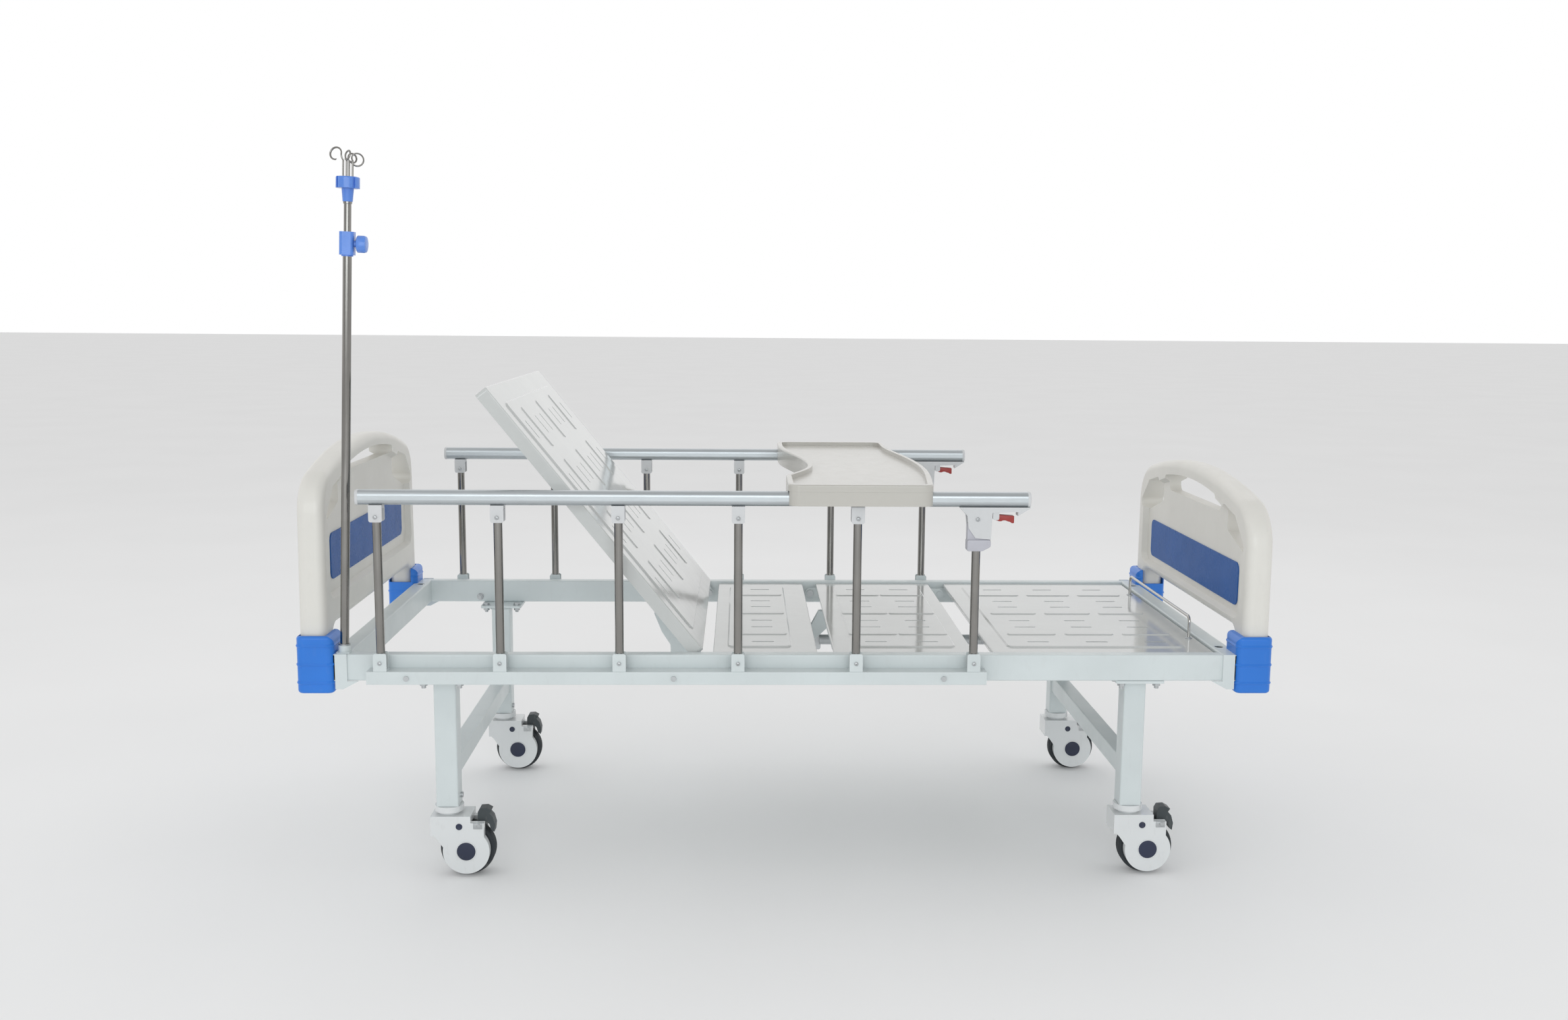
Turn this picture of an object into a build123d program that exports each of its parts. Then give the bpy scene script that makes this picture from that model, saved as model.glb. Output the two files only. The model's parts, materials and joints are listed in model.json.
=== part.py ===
from build123d import *
import math
import os

# Adjustable two-crank hospital bed, millimetres.
# Origin: floor level under the middle of the bed. +X runs to the foot end, +Y to the patient's
# left side, +Z up. "Right" pieces are at -Y, "left" pieces at +Y.

os.makedirs("parts", exist_ok=True)

# ---- frame
frame_half_width = 450.0
frame_top = 530.0
frame_bottom = 470.0
side_tube_width = 30.0
side_tube_end = 976.0
end_tube_depth = 40.0
tube_wall = 2.0
inner_half_width = frame_half_width - side_tube_width

# ---- mattress deck
deck_top = 528.0
panel_half_width = inner_half_width - 3.0
sheet = 2.0
lip_depth = 33.0
end_lip_depth = 12.0
emboss = 3.0
pivot_height = 500.0
pivot_drop = deck_top - pivot_height
back_pivot_x = -197.0
thigh_pivot_x = 87.0
knee_pivot_x = 451.0
back_angle = 51.0
back_length = 755.0
back_start = 22.0
seat_start, seat_end = -170.0, 66.0
thigh_start, thigh_end = 103.0, 422.0
calf_start, calf_end = 464.0, 972.0
slot_rows = (-312.0, -156.0, -82.0, 82.0, 156.0, 312.0)
bead_rows = (-234.0, 0.0, 234.0)
slot_length, slot_width = 52.0, 8.0
bead_length, bead_width = 118.0, 17.0

# ---- pivot hardware
pin_radius = 6.0
running_fit = 0.05
ear_inner, ear_outer = 404.0, 409.0
knee_ear_inner, knee_ear_outer = 396.0, 401.0

# ---- legs and casters
leg_x = {"head": -773.0, "foot": 792.0}
leg_y = 383.0
leg_size = 50.0
leg_bottom = 165.0
leg_top = 464.0
wheel_radius = 62.5
wheel_width = 32.0
caster_trail = 42.0

# ---- side rails
rail_y = 473.0
rail_low, rail_high = 867.5, 900.0
rail_start, rail_end = -938.0, 523.0
rail_wall, rail_cap = 1.8, 8.0
post_x = (-896.0, -635.2, -374.4, -113.6, 147.2, 408.0)
post_radius = 9.5
post_foot_z = 518.6
post_head_z = 841.4
strip_start, strip_end = -926.0, 437.0
strip_low, strip_high = 471.0, 500.0
cheek_gap = 10.2
cheek = 3.0

# ---- lifting screws
lever_radius = 80.0
lever_root_half = 34.0
lever_plates = (-12.0, 7.0)
lever_plate = 5.0
back_lever_y = -130.0
knee_lever_y = 130.0
screw_height = 430.0
screw_radius = 8.0
lever_pin_radius = 5.0

# ---- pole
pole_x, pole_y = -987.0, -428.0
pole_lean = 2.33
socket_half = 13.5


def leaf(name, solid):
    """Name one finished piece and write it as its own STEP file."""
    solid.label = name
    export_step(solid, "parts/" + name + ".step")


def rounded_tube(width, height, wall, radius):
    """Sketch of a hollow rectangular tube section inside the current sketch."""
    RectangleRounded(width, height, radius)
    RectangleRounded(width - 2 * wall, height - 2 * wall, radius / 2, mode=Mode.SUBTRACT)


# =====================================================================  main frame
with BuildPart() as side_tubes:
    for side in (-1, 1):
        tube_y = side * (frame_half_width - side_tube_width / 2)
        middle = Vector(-side_tube_end, tube_y, (frame_top + frame_bottom) / 2)
        with BuildSketch(Plane(origin=middle, x_dir=(0, 1, 0), z_dir=(1, 0, 0))):
            rounded_tube(side_tube_width, frame_top - frame_bottom, tube_wall, 4.0)
        extrude(amount=2 * side_tube_end)
leaf("side_tubes", side_tubes.part)

end_tube_x = side_tube_end + end_tube_depth / 2
deck_tubes = ((-90.0, 495.0), (20.0, 495.0), (300.0, 494.6), (640.0, 489.0), (900.0, 494.6))
deck_tube_low = 472.0
screw_bracket_x = 955.0
with BuildPart() as frame_cross_tubes:
    for end in (-1, 1):
        middle = Vector(end * end_tube_x, -frame_half_width, (frame_top + frame_bottom) / 2)
        with BuildSketch(Plane(origin=middle, x_dir=(1, 0, 0), z_dir=(0, 1, 0))):
            rounded_tube(end_tube_depth, frame_top - frame_bottom, tube_wall, 4.0)
        extrude(amount=2 * frame_half_width)
    # drip holes for a pole at the free corners
    with BuildSketch(Plane.XY.offset(frame_top)):
        with Locations((end_tube_x - 3, -368), (end_tube_x - 3, 368), (-end_tube_x + 3, 368)):
            Circle(10.0)
    extrude(amount=-(tube_wall + 0.5), mode=Mode.SUBTRACT)
    for tube_x, tube_top in deck_tubes:
        middle = Vector(tube_x, -inner_half_width, (tube_top + deck_tube_low) / 2)
        with BuildSketch(Plane(origin=middle, x_dir=(1, 0, 0), z_dir=(0, 1, 0))):
            rounded_tube(40.0, tube_top - deck_tube_low, tube_wall, 3.0)
        extrude(amount=2 * inner_half_width)
    # each lifting screw turns in a plate hung from the foot cross tube
    for lever_y in (back_lever_y, knee_lever_y):
        with BuildSketch(Plane.YZ.offset(screw_bracket_x)):
            with Locations((lever_y, (screw_height - 20 + frame_bottom + 6) / 2)):
                RectangleRounded(46.0, frame_bottom + 6 - screw_height + 20, 5.0)
            with Locations((lever_y, screw_height)):
                Circle(screw_radius + running_fit, mode=Mode.SUBTRACT)
        extrude(amount=8.0)
        # foot flange that carries the plate to the foot cross tube
        with BuildSketch(Plane.XY.offset(frame_bottom - 4.0)):
            with Locations(((screw_bracket_x + 1000) / 2, lever_y)):
                Rectangle(1000 - screw_bracket_x, 46.0)
        extrude(amount=4.0)
leaf("frame_cross_tubes", frame_cross_tubes.part)

plate_end = 1002.6
gusset_low = 452.0
with BuildPart() as corner_plates:
    for end in (-1, 1):
        for side in (-1, 1):
            # upright cap plate across the tube corner, with a gusset below the side tube
            with BuildSketch(Plane.XZ.offset(-side * frame_half_width)):
                with BuildLine():
                    Polyline(
                        (end * 952, frame_bottom),
                        (end * side_tube_end, frame_bottom),
                        (end * side_tube_end, frame_top + 1),
                        (end * plate_end, frame_top + 1),
                        (end * plate_end, gusset_low),
                        (end * 986, gusset_low),
                        close=True,
                    )
                make_face()
            extrude(amount=4.0 * side * -1)
leaf("corner_plates", corner_plates.part)

# =====================================================================  boards and corner blocks
board_inner, board_outer = 1022.0, 1082.0
board_bottom = 474.0
board_leg_inner = 384.0
recess_depth = 15.0
recess_draft = 28.0
inset_sheet = 2.5


def board(end, top, side_top, corner_radius, slots, recess_low):
    """One moulded head or foot board: thick rounded rim, recessed faces, hand slots and an
    open arch between two legs that stand in the corner blocks."""
    with BuildPart() as moulding:
        face = Plane.YZ.offset(min(end * board_inner, end * board_outer))
        with BuildSketch(face) as outline:
            with BuildLine():
                Line((-frame_half_width, board_bottom), (frame_half_width, board_bottom))
                Line((frame_half_width, board_bottom), (side_top[0], side_top[1]))
                ThreePointArc(
                    (side_top[0], side_top[1]), (0, top), (-side_top[0], side_top[1])
                )
                Line((-side_top[0], side_top[1]), (-frame_half_width, board_bottom))
            make_face()
            corners = outline.vertices().group_by(Axis.Y)[-1]
            fillet(corners, corner_radius)
            # arch below the panel, between the legs
            with Locations((0, (board_bottom + 577) / 2 - 30)):
                RectangleRounded(2 * board_leg_inner, 577 - board_bottom + 60, 40.0, mode=Mode.SUBTRACT)
        extrude(amount=board_outer - board_inner)
        long_edges = moulding.edges().filter_by(Axis.X, reverse=True).group_by(Axis.X)
        fillet(long_edges[0] + long_edges[-1], 20.0)
        # shallow recess on both faces
        for depth_start, direction in ((0.0, 1), (board_outer - board_inner, -1)):
            with BuildSketch(face.offset(depth_start)) as recess:
                with BuildLine():
                    Line((-400, recess_low), (400, recess_low))
                    Line((400, recess_low), (side_top[0] - 48, side_top[1] - 60))
                    ThreePointArc(
                        (side_top[0] - 48, side_top[1] - 60),
                        (0, top - 40),
                        (48 - side_top[0], side_top[1] - 60),
                    )
                    Line((48 - side_top[0], side_top[1] - 60), (-400, recess_low))
                make_face()
                fillet(recess.vertices(), 30.0)
            extrude(amount=direction * recess_depth, taper=recess_draft, mode=Mode.SUBTRACT)
        # hand slots
        with BuildSketch(face) as holes:
            with BuildLine():
                slot_low, slot_high, half = slots["top"]
                Line((-half, slot_low), (half, slot_low))
                Line((half, slot_low), (half, slot_high - 16))
                ThreePointArc((half, slot_high - 16), (0, slot_high), (-half, slot_high - 16))
                Line((-half, slot_high - 16), (-half, slot_low))
            make_face()
            fillet(holes.vertices(), (slot_high - 16 - slot_low) / 2 - 1.5)
        extrude(amount=board_outer - board_inner, mode=Mode.SUBTRACT)
        for side in (-1, 1):
            with BuildSketch(face) as side_hole:
                with BuildLine():
                    Polyline(*[(side * y, z) for y, z in slots["side"]], close=True)
                make_face()
                fillet(side_hole.vertices(), 13.0)
            extrude(amount=board_outer - board_inner, mode=Mode.SUBTRACT)
    return moulding.part


head_slots = {
    "top": (909.0, 948.0, 205.0),
    "side": ((258, 912), (350, 892), (418, 822), (380, 806), (258, 846)),
}
foot_slots = {
    "top": (822.0, 878.0, 208.0),
    "side": ((258, 852), (350, 832), (426, 762), (386, 746), (258, 786)),
}
head_blank = board(-1, 980.0, (436.0, 908.0), 92.0, head_slots, 640.0)
foot_blank = board(1, 915.0, (446.0, 852.0), 108.0, foot_slots, 598.0)


def inset(end, low, high, half):
    """Blue panel: one thin plate in the recess on each face of a board."""
    with BuildPart() as plates:
        for depth in (board_inner + recess_depth - inset_sheet, board_outer - recess_depth):
            start = min(end * depth, end * (depth + inset_sheet))
            with BuildSketch(Plane.YZ.offset(start)):
                with Locations((0, (low + high) / 2)):
                    RectangleRounded(2 * half, high - low, 18.0)
            extrude(amount=inset_sheet)
    return plates.part


with BuildPart() as headboard:
    add(head_blank)
leaf("headboard", headboard.part)
with BuildPart() as footboard:
    add(foot_blank)
leaf("footboard", footboard.part)
with BuildPart() as board_panels:
    add(inset(-1, 676.0, 782.0, 340.0))
    add(inset(1, 622.0, 722.0, 352.0))
leaf("board_panels", board_panels.part)

block_low, block_high = 443.0, 572.0
block_inner, block_outer = 1003.0, 1088.0
block_rib = 1.9
block_ribs = (467.0, 508.0, 550.0)
block_corner = 16.0
with BuildPart() as corner_blocks:
    for end in (-1, 1):
        for side in (-1, 1):
            with BuildPart() as block:
                block_middle = (end * (block_inner + block_outer) / 2, side * (372 + 462) / 2)
                length, width = block_outer - block_inner, 462 - 372
                with BuildSketch(Plane.XY.offset(block_low)):
                    with Locations(block_middle):
                        RectangleRounded(length - 2 * block_rib, width - 2 * block_rib, 15.0)
                extrude(amount=block_high - block_low)
                fillet(block.edges().group_by(Axis.Z)[-1] + block.edges().group_by(Axis.Z)[0], 7.0)
                # the top corner on the frame's side is well rounded
                corner_x = block_inner + block_rib
                with BuildSketch(Plane.XZ.offset(-side * 462.0)):
                    with Locations((end * corner_x, block_high)):
                        Rectangle(2 * block_corner, 2 * block_corner)
                    with Locations((end * (corner_x + block_corner), block_high - block_corner)):
                        Circle(block_corner, mode=Mode.SUBTRACT)
                extrude(amount=side * 92.0, mode=Mode.SUBTRACT)
                # raised ribs run right round
                for rib_z in block_ribs:
                    with BuildSketch(Plane.XY.offset(rib_z)):
                        with Locations(block_middle):
                            RectangleRounded(length, width, 16.0)
                    extrude(amount=block_rib * 1.9, both=True, taper=27)
                # pocket for the board's leg, open at the top
                with BuildSketch(Plane.XY.offset(board_bottom)):
                    with Locations((end * (board_inner + board_outer) / 2, side * (381 + 451) / 2)):
                        Rectangle(board_outer - board_inner, 451 - 381)
                extrude(amount=block_high, mode=Mode.SUBTRACT)
                # wider mouth for the curve where the leg spreads into the panel
                with BuildSketch(Plane.XY.offset(534.0)):
                    with Locations((end * (board_inner + board_outer) / 2, side * (365 + 451) / 2)):
                        Rectangle(board_outer - board_inner, 451 - 365)
                extrude(amount=block_high, mode=Mode.SUBTRACT)
                # way for the frame's end tube
                with BuildSketch(Plane.YZ.offset(end * 980)):
                    with Locations((side * (300 + 451) / 2, (frame_top + frame_bottom) / 2)):
                        Rectangle(451 - 300, frame_top - frame_bottom)
                extrude(amount=end * (1016 - 980), mode=Mode.SUBTRACT)
            add(block.part)
leaf("corner_blocks", corner_blocks.part)

# =====================================================================  legs
with BuildPart() as leg_frames:
    for x in leg_x.values():
        for side in (-1, 1):
            with BuildSketch(Plane.XY.offset(leg_bottom)):
                with Locations((x, side * leg_y)):
                    RectangleRounded(leg_size, leg_size, 4.0)
                    RectangleRounded(leg_size - 4, leg_size - 4, 2.5, mode=Mode.SUBTRACT)
            extrude(amount=leg_top - leg_bottom)
            # top plate under the side tube
            with BuildSketch(Plane.XY.offset(leg_top)):
                with Locations((x, side * (leg_y - 26 + frame_half_width) / 2)):
                    RectangleRounded(110.0, frame_half_width - leg_y + 26, 6.0)
                with Locations((x - 40, side * 435), (x + 40, side * 435)):
                    Circle(5.2, mode=Mode.SUBTRACT)
            extrude(amount=frame_bottom - leg_top)
            # plug and swivel pin of the caster, welded into the foot of the leg
            with BuildSketch(Plane.XY.offset(leg_bottom)):
                with Locations((x, side * leg_y)):
                    RectangleRounded(leg_size - 4, leg_size - 4, 2.5)
            extrude(amount=5.0)
            with BuildSketch(Plane.XY.offset(132.0)):
                with Locations((x, side * leg_y)):
                    Circle(8.0)
            extrude(amount=leg_bottom - 132.0 + 1)
        middle = Vector(x, -(leg_y - leg_size / 2), 248.0)
        with BuildSketch(Plane(origin=middle, x_dir=(1, 0, 0), z_dir=(0, 1, 0))):
            rounded_tube(40.0, 44.0, tube_wall, 3.0)
        extrude(amount=2 * (leg_y - leg_size / 2))
leaf("leg_frames", leg_frames.part)

strip_bolt_x = (-839.0, -255.0, 342.0)
with BuildPart() as frame_bolts:
    for x in leg_x.values():
        for side in (-1, 1):
            for offset_x in (-40.0, 40.0):
                spot = (x + offset_x, side * 435.0)
                with BuildSketch(Plane.XY.offset(leg_top - 14.0)):
                    with Locations(spot):
                        Circle(5.0)
                extrude(amount=frame_bottom - leg_top + 14.0)
                with BuildSketch(Plane.XY.offset(leg_top - 8.0)):
                    with Locations(spot):
                        RegularPolygon(9.0, 6)
                extrude(amount=8.0)
            # set bolt that locks the caster's plug
            with BuildSketch(Plane.YZ.offset(x + leg_size / 2)):
                with Locations((side * (leg_y - 8), 183.0)):
                    Circle(6.5)
            extrude(amount=5.0)
    for side in (-1, 1):
        for x in strip_bolt_x:
            with BuildSketch(Plane.XZ.offset(-side * 488.0)):
                with Locations((x, 485.0)):
                    Circle(6.0)
            extrude(amount=-side * 3.5)
    # pivot bolts of the back and thigh sections, heads against their ears
    for side in (-1, 1):
        for x in (back_pivot_x, thigh_pivot_x):
            with BuildSketch(Plane.XZ.offset(-side * 401.0)):
                with Locations((x, pivot_height)):
                    Circle(pin_radius)
            extrude(amount=-side * 19.0)
            with BuildSketch(Plane.XZ.offset(-side * 398.0)):
                with Locations((x, pivot_height)):
                    Circle(9.0)
            extrude(amount=-side * 4.0)
leaf("frame_bolts", frame_bolts.part)


# =====================================================================  deck panels
def pressed_panel(plane, length, slot_columns, pad_start, pad_end, start_lip, end_lip):
    """Pressed sheet panel with turned-down edges, a raised field, slots and stiffening beads.
    The plane's X runs along the panel from its first edge and its Z is the lying surface."""
    middle = (length / 2, 0)
    with BuildPart() as panel:
        with BuildSketch(plane.offset(-lip_depth)):
            with Locations(middle):
                RectangleRounded(length, 2 * panel_half_width, 9.0)
        extrude(amount=lip_depth - emboss)
        top_face = panel.faces().sort_by(SortBy.AREA)[-2:].sort_by_distance(plane.origin)[0]
        fillet(top_face.edges(), 3.0)
        with BuildSketch(plane.offset(-lip_depth)):
            with Locations(middle):
                RectangleRounded(length - 2 * sheet, 2 * (panel_half_width - sheet), 7.0)
        extrude(amount=lip_depth - emboss - sheet, mode=Mode.SUBTRACT)
        pad_middle = ((pad_start + pad_end) / 2, 0)
        pad_size = (pad_end - pad_start, 2 * (panel_half_width - 58.0))
        with BuildSketch(plane.offset(-emboss)):
            with Locations(pad_middle):
                RectangleRounded(pad_size[0], pad_size[1], 16.0)
        extrude(amount=emboss, taper=50)
        with BuildSketch(plane.offset(-emboss - sheet)):
            with Locations(pad_middle):
                RectangleRounded(pad_size[0] - 3, pad_size[1] - 3, 14.0)
        extrude(amount=emboss, taper=50, mode=Mode.SUBTRACT)
        with BuildSketch(plane):
            with Locations([(x, y) for x in slot_columns for y in bead_rows]):
                SlotOverall(bead_length, bead_width)
        extrude(amount=2.0, taper=50)
        with BuildSketch(plane.offset(1.0)):
            with Locations([(x, y) for x in slot_columns for y in slot_rows]):
                SlotOverall(slot_length, slot_width)
        extrude(amount=-8.0, mode=Mode.SUBTRACT)
        # end lips are cut short where hinge ears pass under them
        for x, depth in ((0.0, start_lip), (length, end_lip)):
            if depth < lip_depth:
                with BuildSketch(plane.offset(-lip_depth)):
                    with Locations((x, 0)):
                        Rectangle(2 * sheet + 1, 2 * (panel_half_width - sheet))
                extrude(amount=lip_depth - depth, mode=Mode.SUBTRACT)
    return panel.part


def deck_plane(start):
    """Plane of a flat panel: X towards the foot end, Z up."""
    return Plane(origin=(start, 0, deck_top), x_dir=(1, 0, 0), z_dir=(0, 0, 1))


seat = pressed_panel(
    deck_plane(seat_start), seat_end - seat_start, (114.0,), 32.0, 180.0, end_lip_depth, lip_depth
)
leaf("seat_panel", seat)
thigh_columns = (104.0, 223.0)
thigh = pressed_panel(
    deck_plane(thigh_start), thigh_end - thigh_start, thigh_columns, 45.0, 285.0, end_lip_depth, end_lip_depth
)
leaf("thigh_panel", thigh)
calf_columns = (122.0, 260.0, 398.0)
calf = pressed_panel(
    deck_plane(calf_start), calf_end - calf_start, calf_columns, 42.0, 458.0, end_lip_depth, lip_depth
)
leaf("calf_panel", calf)

# the back section's own frame of reference: X up the back, Z out of the lying surface
lean = math.radians(back_angle)
up_back = Vector(-math.cos(lean), 0, math.sin(lean))
out_of_back = Vector(math.sin(lean), 0, math.cos(lean))
back_pivot = Vector(back_pivot_x, 0, pivot_height)
back_surface = Plane(
    origin=back_pivot + up_back * back_start + out_of_back * pivot_drop, x_dir=up_back, z_dir=out_of_back
)
back_columns = (160.0, 314.0, 468.0, 622.0)
back = pressed_panel(back_surface, back_length, back_columns, 40.0, 706.0, end_lip_depth, lip_depth)
leaf("backrest_panel", back)


def stiffener(plane, start, end, cross_x):
    """Two lengthwise tubes under a panel's edges with cross tubes between them."""
    low, high = -29.0, -(emboss + sheet)
    cross_height, cross_half = 18.0, 391.8
    with BuildPart() as rails:
        for side in (-1, 1):
            corner = plane.origin + plane.x_dir * start + plane.y_dir * side * 402.0
            middle = corner + plane.z_dir * (low + high) / 2
            with BuildSketch(Plane(origin=middle, x_dir=plane.y_dir, z_dir=plane.x_dir)):
                rounded_tube(20.0, high - low, 1.5, 2.5)
            extrude(amount=end - start)
        for x in cross_x:
            middle = plane.origin + plane.x_dir * x + plane.z_dir * (low + cross_height / 2)
            start_point = middle - plane.y_dir * cross_half
            with BuildSketch(Plane(origin=start_point, x_dir=plane.x_dir, z_dir=plane.y_dir)):
                rounded_tube(22.0, cross_height, 1.5, 2.5)
            extrude(amount=2 * cross_half)
    return rails.part


def ear(plane, along, near, far, lip_x, reach, side):
    """Flat hinge ear on one side of a panel, bored for its pin. Along is the pin's place on the
    plane's X, lip_x the end lip that it passes under, reach the far end of its root, near and
    far its two faces from the middle."""
    low, high = -29.0, -(emboss + sheet)
    low_y = min(side * near, side * far)
    ear_plane = Plane(
        origin=plane.origin + plane.y_dir * low_y, x_dir=plane.x_dir, z_dir=plane.y_dir
    )
    # on this plane Y runs down from the lying surface
    with BuildPart() as lug:
        with BuildSketch(ear_plane) as shape:
            with Locations((along, pivot_drop)):
                Circle(13.0)
            with BuildLine():
                Polyline(
                    (along, pivot_drop - 13.0),
                    (lip_x, end_lip_depth + 1.0),
                    ((lip_x + reach) / 2, -high),
                    (reach, -high),
                    (reach, -low),
                    (along, pivot_drop + 13.0),
                    close=True,
                )
            make_face()
            with Locations((along, pivot_drop)):
                Circle(pin_radius + running_fit, mode=Mode.SUBTRACT)
        extrude(amount=far - near)
    return lug.part


def lever(origin, direction_deg, lever_y, root_plane, root_x):
    """Twin-plate lifting lever that hangs from a section's first cross tube, with its pin."""
    tip = Vector(
        origin.X + lever_radius * math.sin(math.radians(direction_deg)),
        0,
        origin.Z - lever_radius * math.cos(math.radians(direction_deg)),
    )
    root = root_plane.origin + root_plane.x_dir * root_x - root_plane.z_dir * 20.0
    side_plane = Plane(origin=(0, lever_y, 0), x_dir=(1, 0, 0), z_dir=(0, -1, 0))
    along = (tip - root).normalized()
    across = Vector(along.Z, 0, -along.X)
    spread = root_plane.x_dir * math.copysign(lever_root_half, across.dot(root_plane.x_dir))
    with BuildPart() as arm:
        for face_y in lever_plates:
            with BuildSketch(side_plane.offset(-face_y - lever_plate)):
                with BuildLine():
                    Polyline(
                        *[
                            ((p.X), (p.Z))
                            for p in (
                                root + spread,
                                tip + across * 10,
                                tip - across * 10,
                                root - spread,
                            )
                        ],
                        close=True,
                    )
                make_face()
                with Locations((tip.X, tip.Z)):
                    Circle(10.0)
            extrude(amount=lever_plate)
        with BuildSketch(side_plane.offset(-14.0)):
            with Locations((tip.X, tip.Z)):
                Circle(lever_pin_radius)
        extrude(amount=28.0)
    return arm.part


back_lever_flat = 37.5
# distance up the back and depth below its lying surface
web_root = ((30.0, 14.0), (170.0, 14.0))
web_edge = ((98.0, 86.0), (52.0, 100.0), (14.0, 104.0), (-6.0, 119.0), (-66.0, 100.0))
back_lever_rest = back_lever_flat - back_angle
with BuildPart() as backrest_frame:
    add(stiffener(back_surface, 14.0, back_length - 6.0, (32.0, 380.0, back_length - 40.0)))
    for side in (-1, 1):
        add(ear(back_surface, -back_start, ear_inner, ear_outer, 3.5, 36.0, side))
    add(lever(back_pivot, back_lever_rest, back_lever_y, back_surface, 32.0))
    # deep web that ties the lever to the frame further up the back
    for face_y in lever_plates:
        face = back_surface.origin + Vector(0, back_lever_y + face_y, 0)
        with BuildSketch(Plane(origin=face, x_dir=up_back, z_dir=(0, -1, 0))):
            with BuildLine():
                Polyline(*web_root, *web_edge, close=True)
            make_face()
        extrude(amount=-lever_plate)
leaf("backrest_frame", backrest_frame.part)

thigh_plane = deck_plane(thigh_start)
thigh_pivot = Vector(thigh_pivot_x, 0, pivot_height)
thigh_length = thigh_end - thigh_start
knee_lever_rest = -17.5
with BuildPart() as thigh_frame:
    add(stiffener(thigh_plane, 14.0, thigh_length - 14.0, (28.0, thigh_length - 40.0)))
    for side in (-1, 1):
        add(ear(thigh_plane, thigh_pivot_x - thigh_start, ear_inner, ear_outer, 3.5, 36.0, side))
        knee_x = knee_pivot_x - thigh_start
        lip_x = thigh_length - 3.5
        add(ear(thigh_plane, knee_x, knee_ear_inner, knee_ear_outer, lip_x, thigh_length - 36.0, side))
        # knee pin, riveted in the thigh ear
        with BuildSketch(Plane.XZ.offset(-side * 393.0)):
            with Locations((knee_pivot_x, pivot_height)):
                Circle(pin_radius)
        extrude(amount=-side * 19.0)
    add(lever(thigh_pivot, knee_lever_rest, knee_lever_y, thigh_plane, 28.0))
leaf("thigh_frame", thigh_frame.part)

calf_plane = deck_plane(calf_start)
calf_length = calf_end - calf_start
with BuildPart() as calf_frame:
    add(stiffener(calf_plane, 22.0, calf_length - 8.0, (36.0, 250.0, calf_length - 60.0)))
    for side in (-1, 1):
        add(ear(calf_plane, knee_pivot_x - calf_start, ear_inner, ear_outer, 3.5, 36.0, side))
leaf("calf_frame", calf_frame.part)

# mattress stop: bent rod standing in the calf panel
stop_x = 956.0
stop_half = 262.0
stop_top = 577.0
with BuildPart() as mattress_stop:
    with BuildLine() as stop_path:
        FilletPolyline(
            (stop_x, -stop_half, deck_top - emboss),
            (stop_x, -stop_half, stop_top),
            (stop_x, stop_half, stop_top),
            (stop_x, stop_half, deck_top - emboss),
            radius=14.0,
        )
    with BuildSketch(Plane(origin=stop_path.line @ 0, z_dir=stop_path.line % 0)):
        Circle(3.5)
    sweep()
leaf("mattress_stop", mattress_stop.part)

# =====================================================================  lifting screws
screw_start = 520.0
push_tube_end = 640.0
plate_reach = 38.0


def push_tube(pin_x, lever_y, low_pin, high_pin):
    """Tube that pushes or pulls a lever: slotted end plate, long tube and a nut on the screw."""
    axis_plane = Plane(origin=(pin_x, lever_y, screw_height), x_dir=(0, 1, 0), z_dir=(1, 0, 0))
    with BuildPart() as tube:
        with BuildSketch(axis_plane.offset(plate_reach)):
            Circle(13.0)
            Circle(10.0, mode=Mode.SUBTRACT)
        extrude(amount=push_tube_end - pin_x - plate_reach)
        # nut block
        with BuildSketch(axis_plane.offset(push_tube_end - pin_x - 30.0)):
            RegularPolygon(17.0, 6)
            Circle(screw_radius + 0.4, mode=Mode.SUBTRACT)
        extrude(amount=30.0)
        # closing disc and slotted plate
        with BuildSketch(axis_plane.offset(plate_reach - 2.0)):
            Circle(13.0)
        extrude(amount=4.0)
        plate = Plane(origin=(0, lever_y - 4.0, 0), x_dir=(-1, 0, 0), z_dir=(0, 1, 0))
        slot_low = low_pin - lever_pin_radius - 3.0
        slot_high = high_pin + lever_pin_radius + 3.0
        with BuildSketch(plate):
            with Locations((-pin_x - (plate_reach - 18.0) / 2, (slot_low + slot_high) / 2)):
                RectangleRounded(plate_reach + 22.0, slot_high - slot_low + 16.0, 6.0)
            with Locations((-pin_x, (slot_low + slot_high) / 2)):
                pin_slot = 2 * lever_pin_radius + 6.0
                SlotOverall(slot_high - slot_low, pin_slot, rotation=90, mode=Mode.SUBTRACT)
        extrude(amount=8.0)
    return tube.part


def crank(lever_y, side):
    """Screw with collar, crank arm and stub handle at the foot end."""
    axis_plane = Plane(origin=(0, lever_y, screw_height), x_dir=(0, 1, 0), z_dir=(1, 0, 0))
    with BuildPart() as rod:
        with BuildSketch(axis_plane.offset(screw_start)):
            Circle(screw_radius)
        extrude(amount=1034.0 - screw_start)
        for collar_x in (screw_bracket_x - 10.4, screw_bracket_x + 8.4):
            with BuildSketch(axis_plane.offset(collar_x)):
                Circle(13.0)
            extrude(amount=10.0)
        with BuildSketch(axis_plane.offset(1024.0)):
            with Locations((side * 52.0, 0)):
                SlotOverall(104.0 + 24.0, 24.0)
        extrude(amount=10.0)
        with BuildSketch(axis_plane.offset(1034.0)):
            with Locations((side * 104.0, 0)):
                Circle(13.0)
        extrude(amount=52.0)
        fillet(rod.edges().group_by(Axis.X)[-1], 5.0)
    return rod.part


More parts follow.
